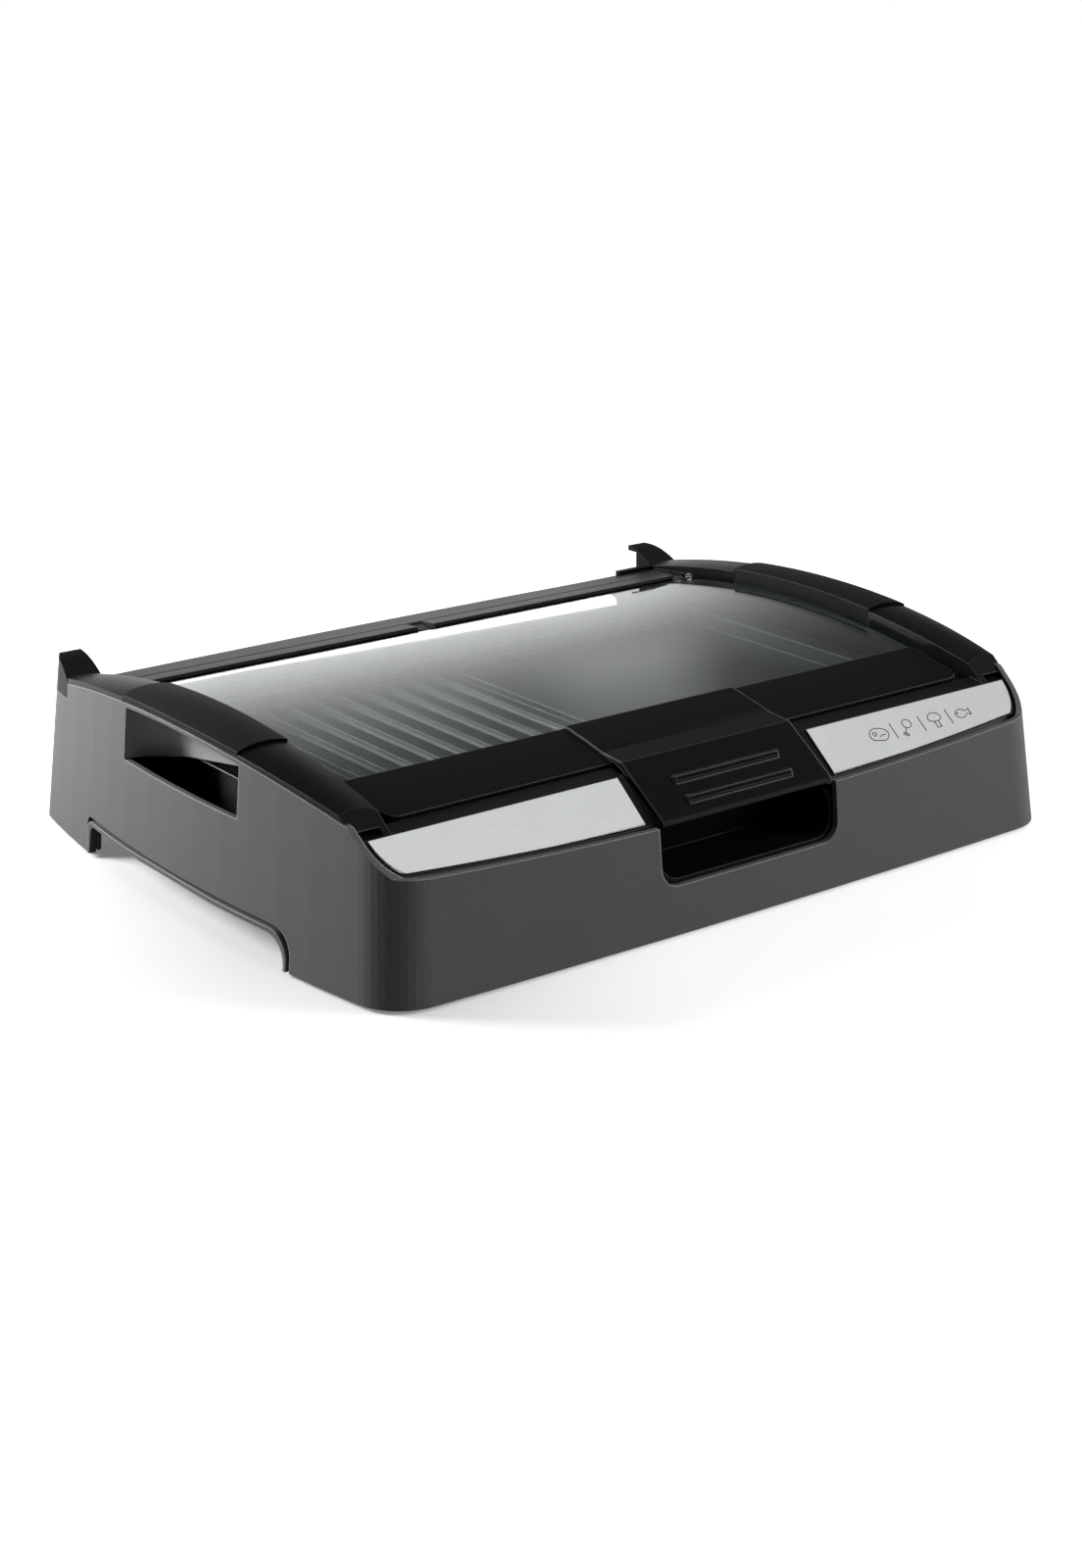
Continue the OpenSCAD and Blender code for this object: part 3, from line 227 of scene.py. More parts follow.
def wall_face(y, z):
    """Distance from the middle plane to the outer face of a side wall at a height."""
    return shell_tree.ray_cast(Vector((beside_all, y, z)), Vector((-1, 0, 0)))[0].x


def solid_band(name, rings, finish):
    """Closed sweep through rings of four corners, riding on the base."""
    mesh = bmesh.new()
    made = [[mesh.verts.new(corner) for corner in ring] for ring in rings]
    for a, b in zip(made, made[1:]):
        for k in range(4):
            mesh.faces.new((a[k], a[(k + 1) % 4], b[(k + 1) % 4], b[k]))
    mesh.faces.new(made[0])
    mesh.faces.new(reversed(made[-1]))
    bmesh.ops.recalc_face_normals(mesh, faces=mesh.faces)
    data = bpy.data.meshes.new(name)
    mesh.to_mesh(data)
    mesh.free()
    data.materials.append(finish)
    data.shade_smooth()
    data.set_sharp_from_angle(angle=sharp_from)
    piece = bpy.data.objects.new(name, data)
    bpy.context.scene.collection.objects.link(piece)
    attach(piece, "base")
    return piece


def quarter(x, y, radius, start, steps):
    """Points of a quarter circle, with their outward directions."""
    angles = [start + math.pi / 2 * k / steps for k in range(steps + 1)]
    return [(x + radius * math.cos(a), y + radius * math.sin(a), math.cos(a), math.sin(a)) for a in angles]


arch_y0, arch_y1, arch_top = -117.5 * MM, 106 * MM, 24 * MM
arch_front_r, arch_rear_r = 15 * MM, 5 * MM
front_steps, top_steps, rear_steps = 10, 12, 6
foot_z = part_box("housing")[0][2] + 0.4 * MM
above_arch = arch_top + 3 * MM  # height at which the wall's outer face is found
wall_draft = 0.11  # how far the wall stands out further per metre down
rim_proud, rim_depth = 0.8 * MM, 4.4 * MM
rim_joint, rim_reach = 2.1 * MM, 5 * MM


def arch_line(shrink):
    """Points (y, z) along an arch from front to rear, drawn in by shrink."""
    front, rear, top = arch_y0 + shrink, arch_y1 - shrink, arch_top - shrink
    turn_front, turn_rear = front + arch_front_r, rear - arch_rear_r
    bend_front = quarter(turn_front, top - arch_front_r, arch_front_r, math.pi / 2, front_steps)
    bend_rear = quarter(turn_rear, top - arch_rear_r, arch_rear_r, 0.0, rear_steps)
    points = [(front, foot_z)]
    points += [(y, z) for y, z, _, _ in reversed(bend_front)]
    points += [(turn_front + (turn_rear - turn_front) * k / top_steps, top) for k in range(1, top_steps)]
    points += [(y, z) for y, z, _, _ in reversed(bend_rear)]
    return points + [(rear, foot_z)]


for side, name in ((-1, "arch_rim_left"), (1, "arch_rim_right")):
    rings = []
    for (y_up, z_up), (y_low, z_low) in zip(arch_line(rim_joint), arch_line(rim_reach)):
        stands_at = wall_face(y_up, above_arch) + (above_arch - z_up) * wall_draft + rim_proud
        outer = side * min(stands_at, cad_high[0])
        inner = outer - side * rim_depth
        rings.append([(outer, y_up, z_up), (outer, y_low, z_low), (inner, y_low, z_low), (inner, y_up, z_up)])
    solid_band(name, rings, anthracite)

# HAND OPENING INSERTS
# Scoop clipped in behind each hand opening: a back wall that sweeps round into both ends, cut away
# below towards the front so that the fingers reach under the rail. Mid grey, with a coarse grain,
# and its edges take its lighter tone as a faint painted highlight.
scoop_grey = moulded(
    "scoop_moulding",
    (0.44, 0.44, 0.444),
    (0.5, 0.5, 0.505),
    (0.5, 0.5, 0.505),
    roughness=0.45,
    depth=0.00008,
    scale=1100.0,
    gloss=0.3,
)
scoop_low, scoop_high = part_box("recess_right")
scoop_wall = 2.4 * MM
scoop_back = scoop_low[0] + scoop_wall
scoop_play = 0.2 * MM
rear_sweep, front_sweep = 27 * MM, 10 * MM
sweep_steps = 14
back_step, back_steps = 8 * MM, 8
scoop_sill = 70.5 * MM
sill_bend_y, sill_rise = 45 * MM, 0.172  # forward of this Y the lower edge rises by so much per metre
crown_r = 0.6734  # radius of the curved upper edge
wall_top = 98 * MM
edge_margin, wall_margin = 2 * MM, 0.5 * MM


def scoop(name, side):
    """One insert, swept round in plan from the rear end of the opening to its front end."""
    y_front = scoop_low[1] + scoop_wall + scoop_play
    y_rear = scoop_high[1] - scoop_wall - scoop_play
    plan = [(beside_all, y_rear, 0.0, 1.0)]
    plan += quarter(scoop_back + rear_sweep, y_rear - rear_sweep, rear_sweep, math.pi / 2, sweep_steps)
    plan += [(scoop_back, y_rear - rear_sweep - k * back_step, -1.0, 0.0) for k in range(1, back_steps + 1)]
    plan += quarter(scoop_back + front_sweep, y_front + front_sweep, front_sweep, math.pi, sweep_steps)
    plan += [(beside_all, y_front, 0.0, -1.0)]
    rings = []
    for x, y, out_x, out_y in plan:
        solid_y = scoop_high[1] + edge_margin if y > 0 else scoop_low[1] - edge_margin
        bottom = scoop_sill + max(0.0, sill_bend_y - y) * sill_rise
        top = scoop_high[2] - y * y / (2 * crown_r)
        far_x, far_y = x + out_x * scoop_wall, y + out_y * scoop_wall
        low_x = wall_face(solid_y, bottom) - wall_margin
        high_x = wall_face(solid_y, min(top, wall_top)) - wall_margin
        rings.append(
            [
                (side * min(x, low_x), y, bottom),
                (side * min(x, high_x), y, top),
                (side * min(far_x, high_x), far_y, top),
                (side * min(far_x, low_x), far_y, bottom),
            ]
        )
    return solid_band(name, rings, scoop_grey)


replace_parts(scoop("hand_scoop_left", -1), "recess_left")
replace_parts(scoop("hand_scoop_right", 1), "recess_right")

# BASE PLATE, SOCKET, FEET AND SCREWS
# Matt black plate screwed up into the bosses of the housing, with the inlet socket at the rear and
# four rubber feet. The buffers under the lid's front are of the same rubber as the feet. The plate
# and socket have a faint painted highlight on their edges.
matt_black = moulded(
    "matt_black_moulding",
    (0.012, 0.012, 0.012),
    (0.016, 0.016, 0.017),
    (0.03, 0.03, 0.03),
    roughness=0.62,
    depth=0.0001,
    scale=900.0,
)
paint(matt_black, "base_plate", "socket")

rubber, tree, shader = finish_of("black_rubber")
grain = use_group(tree, grain_tree, Scale=700.0, Roughness=0.78, Spread=0.12)
bump = put(tree, "ShaderNodeBump", Strength=0.5, Distance=0.0001, Height=grain.outputs["Height"])
rubber_tone = blend(tree, grain.outputs["Tone"], (0.013, 0.013, 0.013), (0.022, 0.022, 0.022))
tree.links.new(rubber_tone, shader.inputs["Base Color"])
tree.links.new(grain.outputs["Roughness"], shader.inputs["Roughness"])
tree.links.new(bump.outputs[0], shader.inputs["Normal"])
paint(rubber, "foot_front_left", "foot_front_right", "foot_rear_left", "foot_rear_right", "lid_buffers")

# Fine parallel scratches along X, as height and tone
brush_tree, brush_in, brush_out = node_group(
    "brushing",
    [("Across", "NodeSocketFloat", 2600.0), ("Along", "NodeSocketFloat", 18.0)],
    [("Scratch", "NodeSocketFloat"), ("Cloud", "NodeSocketFloat")],
)
where = put(brush_tree, "ShaderNodeTexCoord").outputs["Object"]
across, along = brush_in.outputs["Across"], brush_in.outputs["Along"]
stretch = put(brush_tree, "ShaderNodeCombineXYZ", X=along, Y=across, Z=across)
drawn = put(brush_tree, "ShaderNodeVectorMath", {"operation": "MULTIPLY"}, i0=where, i1=stretch.outputs[0])
lines = put(brush_tree, "ShaderNodeTexNoise", Vector=drawn.outputs[0], Scale=1.0, Detail=4.0, Roughness=0.65)
cloud = put(brush_tree, "ShaderNodeTexNoise", Vector=where, Scale=35.0, Detail=3.0, Roughness=0.5)
brush_tree.links.new(lines.outputs["Fac"], brush_out.inputs["Scratch"])
brush_tree.links.new(cloud.outputs["Fac"], brush_out.inputs["Cloud"])


def brushed(name, dark, light, roughness, spread, depth, across, along):
    """Brushed or drawn metal: scratches drive tone and bump, a cloudy stain drives the roughness."""
    made, tree, shader = finish_of(name)
    lines = use_group(tree, brush_tree, Across=across, Along=along)
    edge = use_group(tree, edge_tree, Radius=0.0004, Gain=3.0)
    tone = calc(tree, "MULTIPLY_ADD", lines.outputs["Scratch"], 2.4, -0.7)
    stain = calc(tree, "MULTIPLY_ADD", lines.outputs["Cloud"], spread, roughness - spread / 2)
    bump = put(
        tree,
        "ShaderNodeBump",
        Strength=0.5,
        Distance=depth,
        Height=lines.outputs["Scratch"],
        Normal=edge.outputs["Normal"],
    )
    tree.links.new(blend(tree, tone, dark, light), shader.inputs["Base Color"])
    tree.links.new(stain, shader.inputs["Roughness"])
    tree.links.new(bump.outputs[0], shader.inputs["Normal"])
    shader.inputs["Metallic"].default_value = 1.0
    return made


zinc = brushed(
    "zinc_plated_steel",
    (0.5, 0.51, 0.53),
    (0.62, 0.63, 0.64),
    roughness=0.34,
    spread=0.15,
    depth=0.00004,
    across=900.0,
    along=300.0,
)
paint(zinc, "base_screws", "handle_screws", "pan_posts", "tube_clips")

# PAN, TRAY, HEATING TUBE AND FITTINGS
# Drawn sheet steel pan on four spacers, an aluminium drip tray in it, and the heating tube above,
# held on three strips. The hinge bushes are turned steel, the contact pins and the sleeve brass.
fine_scratch = 0.00003
pan_steel = brushed(
    "drawn_steel",
    (0.3, 0.3, 0.31),
    (0.4, 0.4, 0.41),
    roughness=0.38,
    spread=0.2,
    depth=fine_scratch,
    across=500.0,
    along=60.0,
)
paint(pan_steel, "pan")
tray_sheet = brushed(
    "pressed_aluminium",
    (0.62, 0.63, 0.64),
    (0.72, 0.73, 0.74),
    roughness=0.33,
    spread=0.16,
    depth=fine_scratch,
    across=700.0,
    along=40.0,
)
paint(tray_sheet, "drip_tray")
tube_steel = brushed(
    "heat_darkened_steel",
    (0.11, 0.1, 0.1),
    (0.2, 0.18, 0.16),
    roughness=0.45,
    spread=0.2,
    depth=fine_scratch,
    across=900.0,
    along=200.0,
)
paint(tube_steel, "heating_tube")
turned = brushed(
    "turned_steel",
    (0.4, 0.4, 0.42),
    (0.5, 0.5, 0.52),
    roughness=0.3,
    spread=0.15,
    depth=fine_scratch,
    across=1800.0,
    along=1800.0,
)
paint(turned, "bush_left", "bush_right")
brass = brushed(
    "drawn_brass",
    (0.55, 0.4, 0.17),
    (0.68, 0.52, 0.25),
    roughness=0.3,
    spread=0.15,
    depth=fine_scratch,
    across=1500.0,
    along=400.0,
)
paint(brass, "contact_pins", "probe_sleeve")

# COOKING PLATE
# Cast plate with ribs on its left half, smooth on the right, in a dark speckled non-stick coating,
# with a painted highlight on the crests of the ribs.


def ramp(tree, value, start, end, low, high, smooth=False):
    """Output that goes from low to high while value goes from start to end."""
    settings = {"interpolation_type": "SMOOTHSTEP" if smooth else "LINEAR"}
    sockets = {"Value": value, "From_Min": start, "From_Max": end, "To_Min": low, "To_Max": high}
    return put(tree, "ShaderNodeMapRange", settings, **sockets).outputs[0]


coating, tree, shader = finish_of("non_stick_coating")
where = put(tree, "ShaderNodeTexCoord").outputs["Object"]
edge = use_group(tree, edge_tree, Radius=0.0012, Gain=3.0)
cast = put(tree, "ShaderNodeTexNoise", Vector=where, Scale=600.0, Detail=5.0, Roughness=0.6).outputs["Fac"]
spots = put(tree, "ShaderNodeTexVoronoi", {"feature": "F1"}, Vector=where, Scale=750.0)
speck = calc(tree, "MULTIPLY", ramp(tree, spots.outputs["Distance"], 0.08, 0.16, 1.0, 0.0), 0.5)
ground = blend(tree, cast, (0.014, 0.0145, 0.016), (0.021, 0.022, 0.024))
speckled = blend(tree, speck, ground, (0.1, 0.1, 0.105))
# Painted highlight: the crests of the ribs take a pale tone
painted_crest_highlight = blend(tree, edge.outputs["Crest"], speckled, (0.2, 0.206, 0.212))
bump = put(tree, "ShaderNodeBump", Strength=0.4, Distance=0.00008, Height=cast, Normal=edge.outputs["Normal"])
tree.links.new(painted_crest_highlight, shader.inputs["Base Color"])
tree.links.new(ramp(tree, cast, 0.0, 1.0, 0.3, 0.48), shader.inputs["Roughness"])
tree.links.new(bump.outputs[0], shader.inputs["Normal"])
shader.inputs["Specular IOR Level"].default_value = 0.25
paint(coating, "cooking_plate")

# TOP FRAME, GRIPS AND HOOKS
# Black moulded frame let into the housing: two crowned rails, the sloping fascia and the rear bar.
# A grip cap lies over each rail and a rest hook stands on each rear corner. All of them carry a
# painted highlight along their edges.
satin_black = moulded(
    "satin_black_moulding",
    (0.004, 0.004, 0.0041),
    (0.0055, 0.0055, 0.0056),
    (0.13, 0.13, 0.132),
    roughness=0.34,
    depth=0.00005,
    gloss=0.09,
)
paint(satin_black, "top_frame")
grip_black = moulded(
    "grip_moulding",
    (0.008, 0.008, 0.0082),
    (0.011, 0.011, 0.0113),
    (0.13, 0.13, 0.132),
    roughness=0.58,
    depth=0.00014,
    scale=900.0,
    gloss=0.08,
)
paint(grip_black, "grip_left", "grip_right")
hook_black = moulded(
    "hook_moulding",
    (0.005, 0.005, 0.0052),
    (0.007, 0.007, 0.0072),
    (0.06, 0.06, 0.062),
    roughness=0.42,
    depth=0.00005,
    gloss=0.08,
)
paint(hook_black, "hook_left", "hook_right")

# Thin dark joint between each end of a grip and the rail, painted on the last millimetre of the grip
tree = grip_black.node_tree
shader = tree.nodes["Principled BSDF"]
grip_low, grip_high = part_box("grip_left")
joint = 1.1 * MM
place = put(tree, "ShaderNodeSeparateXYZ", Vector=put(tree, "ShaderNodeTexCoord").outputs["Object"])
off_middle = calc(tree, "SUBTRACT", place.outputs["Y"], (grip_low[1] + grip_high[1]) / 2)
off_middle = calc(tree, "ABSOLUTE", off_middle)
at_end = calc(tree, "GREATER_THAN", off_middle, (grip_high[1] - grip_low[1]) / 2 - joint)
plain_grip = shader.inputs["Base Color"].links[0].from_socket
tree.links.new(blend(tree, at_end, plain_grip, (0.0008, 0.0008, 0.0008)), shader.inputs["Base Color"])

# TRIM PLATES
# Two thin steel plates on the fascia, brushed lengthwise. The right one carries four small
# pictograms of food with dividing strokes between them, etched dark.
steel = brushed(
    "brushed_steel",
    (0.64, 0.645, 0.65),
    (0.8, 0.805, 0.81),
    roughness=0.3,
    spread=0.12,
    depth=0.00004,
    across=5200.0,
    along=160.0,
)
paint(steel, "trim_left", "trim_right")

etch, tree, shader = finish_of("etched_line")
where = put(tree, "ShaderNodeTexCoord").outputs["Object"]
mottle = put(tree, "ShaderNodeTexNoise", Vector=where, Scale=900.0, Detail=3.0).outputs["Fac"]
tree.links.new(blend(tree, mottle, (0.05, 0.05, 0.052), (0.12, 0.12, 0.124)), shader.inputs["Base Color"])
tree.links.new(ramp(tree, mottle, 0.0, 1.0, 0.5, 0.8), shader.inputs["Roughness"])
shader.inputs["Specular IOR Level"].default_value = 0.2

slope_angle = math.radians(38.7)
line_half = 0.26 * MM
sign_y, sign_z = -174.4 * MM, 73.44 * MM


def ring(x, w, radius, count=10):
    """Corners of a small circle."""
    turns = [math.tau * k / count for k in range(count)]
    return [(x + radius * math.cos(turn), w + radius * math.sin(turn)) for turn in turns]


def etched(name, middle, closed=(), open_lines=()):
    """Thin etched lines on the right trim plate, in millimetres along X and up the slope."""
    lines = bpy.data.curves.new(name, "CURVE")
    lines.dimensions = "3D"
    lines.bevel_depth = line_half
    lines.bevel_resolution = 1
    lines.use_fill_caps = True
    for points, is_closed in [(c, True) for c in closed] + [(o, False) for o in open_lines]:
        spline = lines.splines.new("NURBS")
        spline.points.add(len(points) - 1)
        for point, (x, w) in zip(spline.points, points):
            y = sign_y + w * MM * math.cos(slope_angle)
            z = sign_z + w * MM * math.sin(slope_angle)
            point.co = ((middle + x) * MM, y, z, 1.0)
        spline.order_u = min(3, len(points))
        spline.use_cyclic_u = is_closed
        spline.use_endpoint_u = not is_closed
        spline.resolution_u = 4
    lines.materials.append(etch)
    piece = bpy.data.objects.new(name, lines)
    bpy.context.scene.collection.objects.link(piece)
    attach(piece, "base")


steak = [(-7, 0.8), (-4, 4.4), (1.5, 4.6), (6.5, 2.4), (7.4, -1.4), (3, -4.8), (-2, -3.4), (-6, -2.6)]
etched("sign_steak", 111.5, [steak, ring(-2.6, 1.0, 1.3)], [[(-0.5, -1.8), (2.2, 0.2), (4.6, -0.8)]])

drumstick = [(-2.2, 0.6), (-2.4, 4.0), (0.8, 5.8), (4.0, 4.4), (4.0, 0.8), (1.0, -0.8)]
knuckles = [ring(-4.4, -3.4, 0.9), ring(-2.9, -4.6, 0.9)]
etched("sign_drumstick", 133.8, [drumstick, *knuckles], [[(-1.2, 0.0), (-3.6, -3.6)]])

cap = [(-5.2, 0.2), (-4.6, 3.6), (0, 5.8), (4.6, 3.6), (5.2, 0.2), (0, -1.0)]
stem = [
    [(-1.6, -0.6), (-1.2, -3.0), (-1.8, -4.8)],
    [(-1.8, -4.8), (1.8, -4.8)],
    [(1.6, -0.6), (1.2, -3.0), (1.8, -4.8)],
]
etched("sign_mushroom", 156.1, [cap], stem)

back = [(-6, 0), (-3, 3.0), (1.4, 2.8), (3.6, 0.4), (6.4, 2.8), (6.0, 0)]
belly = [(6.4, -2.8), (3.6, -0.4), (1.4, -2.8), (-3, -3.0)]
etched("sign_fish", 177.3, [back + belly, ring(-3.4, 0.8, 0.5, 6)])

for middle in (123.0, 145.0, 166.7):
    etched("sign_divider_%d" % middle, middle, (), [[(0, 5.2), (0, 0), (0, -5.2)]])

# LID GLASS
# Curved toughened glass, 4 mm thick, clear with a faint green tint. Its narrow side faces are
# ground matt and look dark green.
glass, tree, shader = finish_of("toughened_glass")
coords = put(tree, "ShaderNodeTexCoord")
haze = put(
    tree, "ShaderNodeTexNoise", Vector=coords.outputs["Object"], Scale=14.0, Detail=5.0, Roughness=0.6
).outputs["Fac"]
wave = put(tree, "ShaderNodeBump", Strength=0.02, Distance=0.0001, Height=haze)
tree.links.new(ramp(tree, haze, 0.0, 1.0, 0.0, 0.015), shader.inputs["Roughness"])
tree.links.new(blend(tree, haze, (0.93, 0.96, 0.955), (0.96, 0.98, 0.975)), shader.inputs["Base Color"])
tree.links.new(wave.outputs[0], shader.inputs["Normal"])
shader.inputs["Transmission Weight"].default_value = 1.0
shader.inputs["IOR"].default_value = 1.5
through = put(tree, "ShaderNodeBsdfTransparent", Color=(0.86, 0.92, 0.9, 1.0))
path = put(tree, "ShaderNodeLightPath")
veil = put(
    tree, "ShaderNodeMixShader", i0=path.outputs["Is Shadow Ray"], i1=shader.outputs[0], i2=through.outputs[0]
)
facing_x = put(tree, "ShaderNodeSeparateXYZ", Vector=coords.outputs["Normal"]).outputs["X"]
side_face = calc(tree, "GREATER_THAN", calc(tree, "ABSOLUTE", facing_x), 0.6)
ground_edge = put(tree, "ShaderNodeBsdfDiffuse", Color=(0.012, 0.026, 0.024, 1.0))
whole = put(tree, "ShaderNodeMixShader", i0=side_face, i1=veil.outputs[0], i2=ground_edge.outputs[0])
tree.links.new(whole.outputs[0], tree.nodes["Material Output"].inputs["Surface"])
paint(glass, "lid_glass")

# LID BAND AND HANDLE
# Satin black band that grips the front edge of the glass, with the folded handle screwed on top.
# The handle has two raised finger ribs, and its edges are rounder than those of the band. Both have
# a painted highlight on their edges, wider on the handle, where it fills the ribs.
lid_tones = ((0.004, 0.004, 0.0042), (0.0055, 0.0055, 0.0057))
lid_grain = {"roughness": 0.42, "depth": 0.00006, "gloss": 0.06}
paint(moulded("lid_moulding", *lid_tones, (0.16, 0.16, 0.163), radius=0.0009, **lid_grain), "lid_band")
paint(moulded("handle_moulding", *lid_tones, (0.2, 0.2, 0.203), radius=0.0016, **lid_grain), "lid_handle")

# HINGES
# Black coated brackets glued under the rear corners of the glass, with arms and pins that turn in
# the bushes of the rear bar. Their edges carry a faint painted highlight.
coated_steel = moulded(
    "black_coated_steel",
    (0.014, 0.014, 0.014),
    (0.02, 0.02, 0.02),
    (0.06, 0.06, 0.06),
    roughness=0.45,
    depth=0.00005,
    scale=800.0,
)
paint(coated_steel, "hinge_left", "hinge_right")

# FLOOR
# White paper that stays white to the camera and keeps the contact shadow, with a painted shadow
# beside the left wall. It sends little light back up onto the grill.
floor_half = 6.0
corners = [(x * floor_half, y * floor_half, 0) for x, y in ((-1, -1), (1, -1), (1, 1), (-1, 1))]
floor_mesh = bpy.data.meshes.new("floor")
floor_mesh.from_pydata(corners, [], [(0, 1, 2, 3)])
floor = bpy.data.objects.new("floor", floor_mesh)
bpy.context.scene.collection.objects.link(floor)

paper, tree, shader = finish_of("white_paper")
where = put(tree, "ShaderNodeTexCoord").outputs["Object"]
fibres = put(tree, "ShaderNodeTexNoise", Vector=where, Scale=900.0, Detail=3.0)
tree.links.new(
    blend(tree, fibres.outputs["Fac"], (0.93, 0.93, 0.93), (0.95, 0.95, 0.95)), shader.inputs["Base Color"]
)
shader.inputs["Roughness"].default_value = 0.9
shader.inputs["Specular IOR Level"].default_value = 0.0
shader.inputs["Emission Color"].default_value = (1.0, 1.0, 1.0, 1.0)

# The paper glows where it is looked at, less near the grill, and a painted shadow cuts the glow beside its left wall
path = put(tree, "ShaderNodeLightPath")
away = put(tree, "ShaderNodeVectorMath", {"operation": "LENGTH"}, i0=where)
glow = ramp(tree, away.outputs["Value"], 0.5, 1.5, 0.48, 1.0, smooth=True)
# Painted shadow: an oval patch beside the left wall where the glow drops to a quarter
beside = put(
    tree, "ShaderNodeVectorMath", {"operation": "MULTIPLY_ADD"}, i0=where, i1=(7.0, 4.2, 0.0), i2=(1.82, 0.1, 0.0)
)
off_wall = put(tree, "ShaderNodeVectorMath", {"operation": "LENGTH"}, i0=beside.outputs[0])
painted_shadow = ramp(tree, off_wall.outputs["Value"], 0.2, 1.7, 0.25, 1.0, smooth=True)
direct = calc(tree, "ADD", path.outputs["Is Camera Ray"], path.outputs["Is Transmission Ray"], clamp=True)
strength = calc(tree, "MULTIPLY", direct, calc(tree, "MULTIPLY", glow, painted_shadow))
tree.links.new(strength, shader.inputs["Emission Strength"])
dull = put(tree, "ShaderNodeBsdfDiffuse", Color=(0.14, 0.14, 0.14, 1.0))
bounce = put(tree, "ShaderNodeMixShader", i0=path.outputs["Is Diffuse Ray"], i1=shader.outputs[0], i2=dull.outputs[0])
tree.links.new(bounce.outputs[0], tree.nodes["Material Output"].inputs["Surface"])
floor.data.materials.append(paper)

# STUDIO AND LAMPS
# Dim room with a bright wall behind the grill, which the glass mirrors, and two softboxes: one
# behind on the left, which lights the left wall and the rails, and one in front on the right.
world = bpy.data.worlds.new("studio")
bpy.context.scene.world = world
world.use_nodes = True
tree = world.node_tree
tree.nodes.clear()
heading = put(tree, "ShaderNodeTexCoord").outputs["Generated"]
axes = put(tree, "ShaderNodeSeparateXYZ", Vector=heading)
to_right, to_rear, to_top = (axes.outputs[axis] for axis in "XYZ")

# Rear wall, bright at its foot and on the left
height = ramp(tree, to_top, 0.08, 0.62, 1.02, 0.03, smooth=True)
rearward = ramp(tree, to_rear, 0.0, 0.6, 0.0, 1.0, smooth=True)
leftward = ramp(tree, to_right, 0.58, 0.67, 1.0, 0.3, smooth=True)
wall_light = calc(tree, "MULTIPLY", calc(tree, "MULTIPLY", height, rearward), leftward)

# Paler upright panel on it, which shows as a soft streak in the middle of the glass
panel = ramp(tree, to_right, 0.555, 0.592, 0.0, 0.34, smooth=True)
panel_end = ramp(tree, to_right, 0.604, 0.63, 1.0, 0.0, smooth=True)
panel_foot = ramp(tree, to_top, 0.26, 0.42, 0.0, 1.0, smooth=True)
streak = calc(tree, "MULTIPLY", calc(tree, "MULTIPLY", panel, panel_end), panel_foot)
wall_light = calc(tree, "ADD", wall_light, calc(tree, "MULTIPLY", streak, rearward))

# Pale ceiling, which brightens the upper faces
overhead = put(tree, "ShaderNodeVectorMath", {"operation": "DOT_PRODUCT"}, i0=heading, i1=(0.4, -0.2, 0.894))
ceiling = ramp(tree, overhead.outputs["Value"], 0.72, 0.95, 0.0, 0.86, smooth=True)

# Low bright opening behind, whose mirror image is the white strip along the rear edge of the glass
slope = calc(tree, "DIVIDE", to_top, to_rear)
bearing = calc(tree, "DIVIDE", to_right, to_rear)
strip_top = calc(tree, "MULTIPLY_ADD", bearing, 0.33, -0.118)
strip_end = calc(tree, "MULTIPLY_ADD", slope, 0.075, 0.74)
below_top = calc(tree, "LESS_THAN", slope, strip_top)
before_end = calc(tree, "LESS_THAN", bearing, strip_end)
strip = calc(tree, "MULTIPLY", below_top, before_end)
strip = calc(tree, "MULTIPLY", strip, calc(tree, "GREATER_THAN", to_rear, 0.0))
strip = calc(tree, "MULTIPLY", strip, 1.3)

brightness = calc(tree, "ADD", calc(tree, "ADD", wall_light, ceiling), strip)
brightness = calc(tree, "ADD", brightness, 0.04)
room = put(tree, "ShaderNodeBackground", Color=(0.975, 0.99, 1.0, 1.0), Strength=brightness)

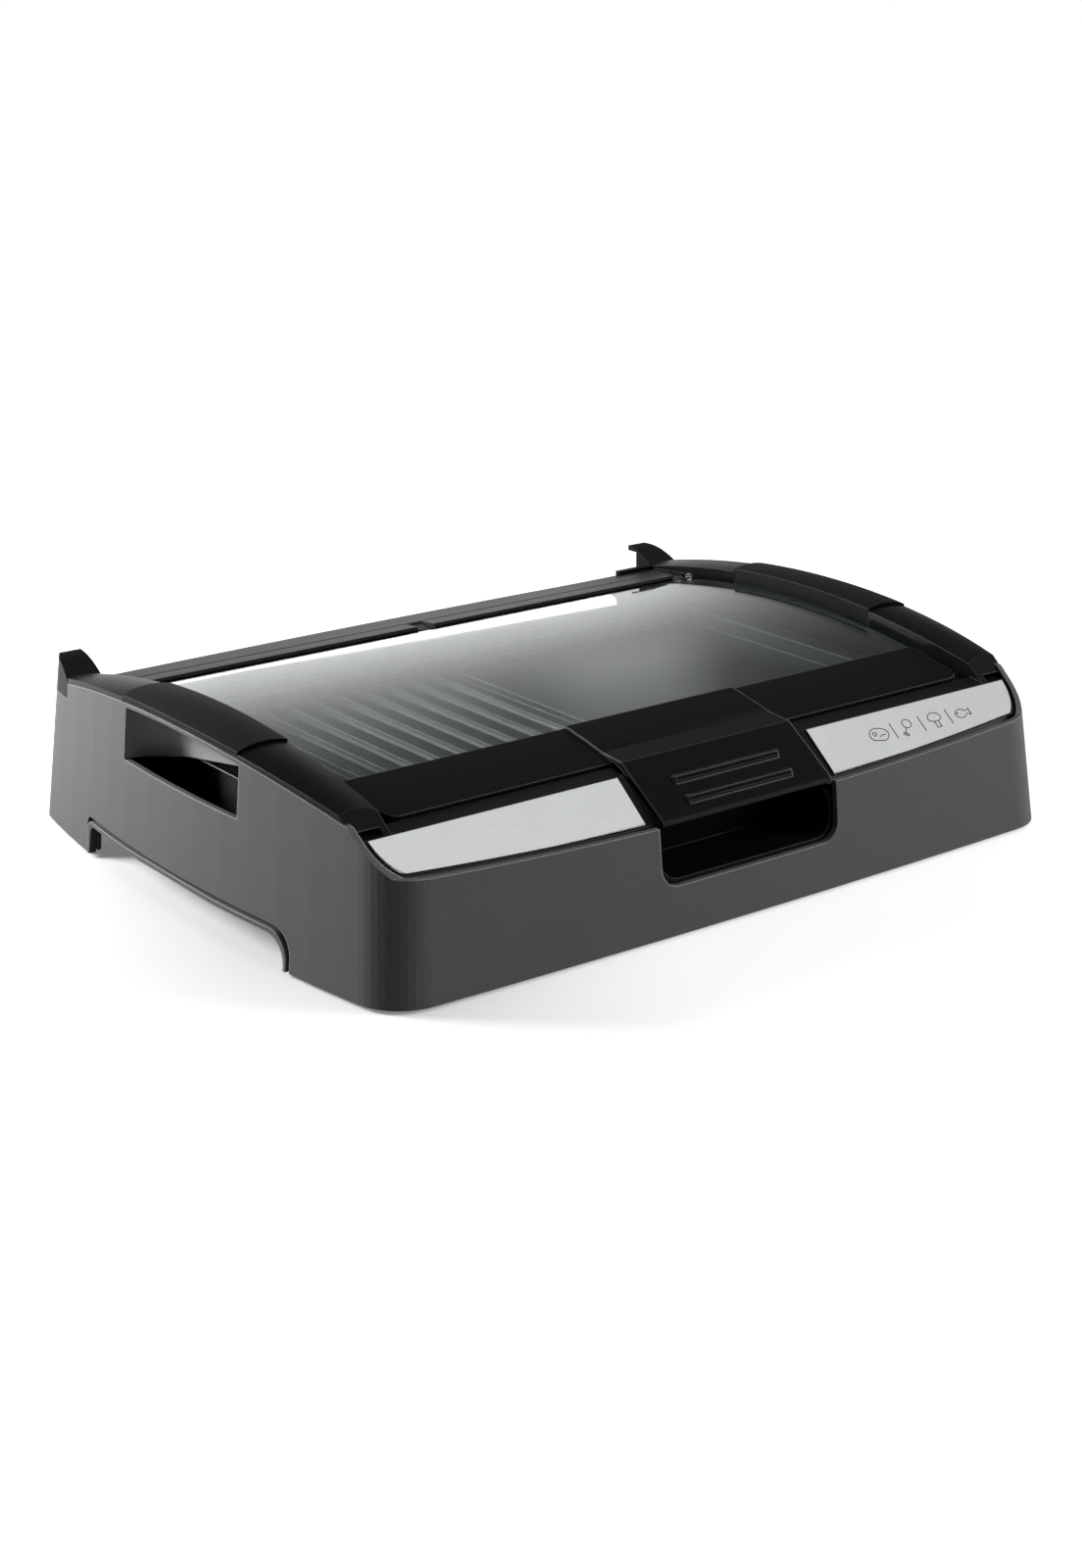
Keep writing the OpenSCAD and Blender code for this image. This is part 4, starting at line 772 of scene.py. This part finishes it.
# The room is plain white to the camera, and through glass that looks at the foot of the rear wall
path = put(tree, "ShaderNodeLightPath")
plain = put(tree, "ShaderNodeBackground", Color=(1.0, 1.0, 1.0, 1.0), Strength=1.0)
low_down = calc(tree, "LESS_THAN", to_top, 0.03)
through_glass = calc(tree, "MULTIPLY", path.outputs["Is Transmission Ray"], low_down)
seen = calc(tree, "ADD", path.outputs["Is Camera Ray"], through_glass, clamp=True)
studio = put(tree, "ShaderNodeMixShader", i0=seen, i1=room.outputs[0], i2=plain.outputs[0])
put(tree, "ShaderNodeOutputWorld", Surface=studio.outputs[0])


def softbox(name, place, aim, width, height, radiance):
    """Area lamp of the given radiance, aimed at a point."""
    data = bpy.data.lights.new(name, "AREA")
    data.shape = "RECTANGLE"
    data.size, data.size_y = width, height
    data.energy = radiance * math.pi * width * height
    made = bpy.data.objects.new(name, data)
    bpy.context.scene.collection.objects.link(made)
    made.location = place
    made.rotation_mode = "QUATERNION"
    made.rotation_quaternion = (Vector(aim) - Vector(place)).to_track_quat("-Z", "Y")
    made.visible_camera = False
    made.visible_transmission = False
    return made


softbox("left_rear_box", (-0.95, 0.95, 0.62), (-0.25, 0.1, 0.05), 0.6, 0.45, 32.0)
front_box = softbox("right_front_box", (1.6, -1.5, 0.8), (0.15, -0.2, 0.05), 1.0, 0.8, 13.0)
front_box.visible_glossy = False  # or its mirror image whitens the glass seen from behind

# CAMERA
# The camera of the photo, solved from the edges of the grill. It looks down on the front left
# corner, and its picture is kept in plain display colours.
turn, tilt, roll = math.radians(36.308), math.radians(19.216), math.radians(-0.513)
eye = Vector((-0.8213, -1.12255, 0.50481))
ahead = Vector((math.sin(turn) * math.cos(tilt), math.cos(turn) * math.cos(tilt), -math.sin(tilt)))
level = Vector((math.cos(turn), -math.sin(turn), 0))
upright = level.cross(ahead)
right = level * math.cos(roll) + upright * math.sin(roll)
upward = upright * math.cos(roll) - level * math.sin(roll)
camera_data = bpy.data.cameras.new("camera")
camera_data.sensor_width = 36.0
camera_data.lens = 56.56
camera = bpy.data.objects.new("camera", camera_data)
bpy.context.scene.collection.objects.link(camera)
rows = [(right[k], upward[k], -ahead[k], eye[k]) for k in range(3)]
camera.matrix_world = Matrix((*rows, (0, 0, 0, 1)))
bpy.context.scene.camera = camera
bpy.context.scene.view_settings.view_transform = "Standard"
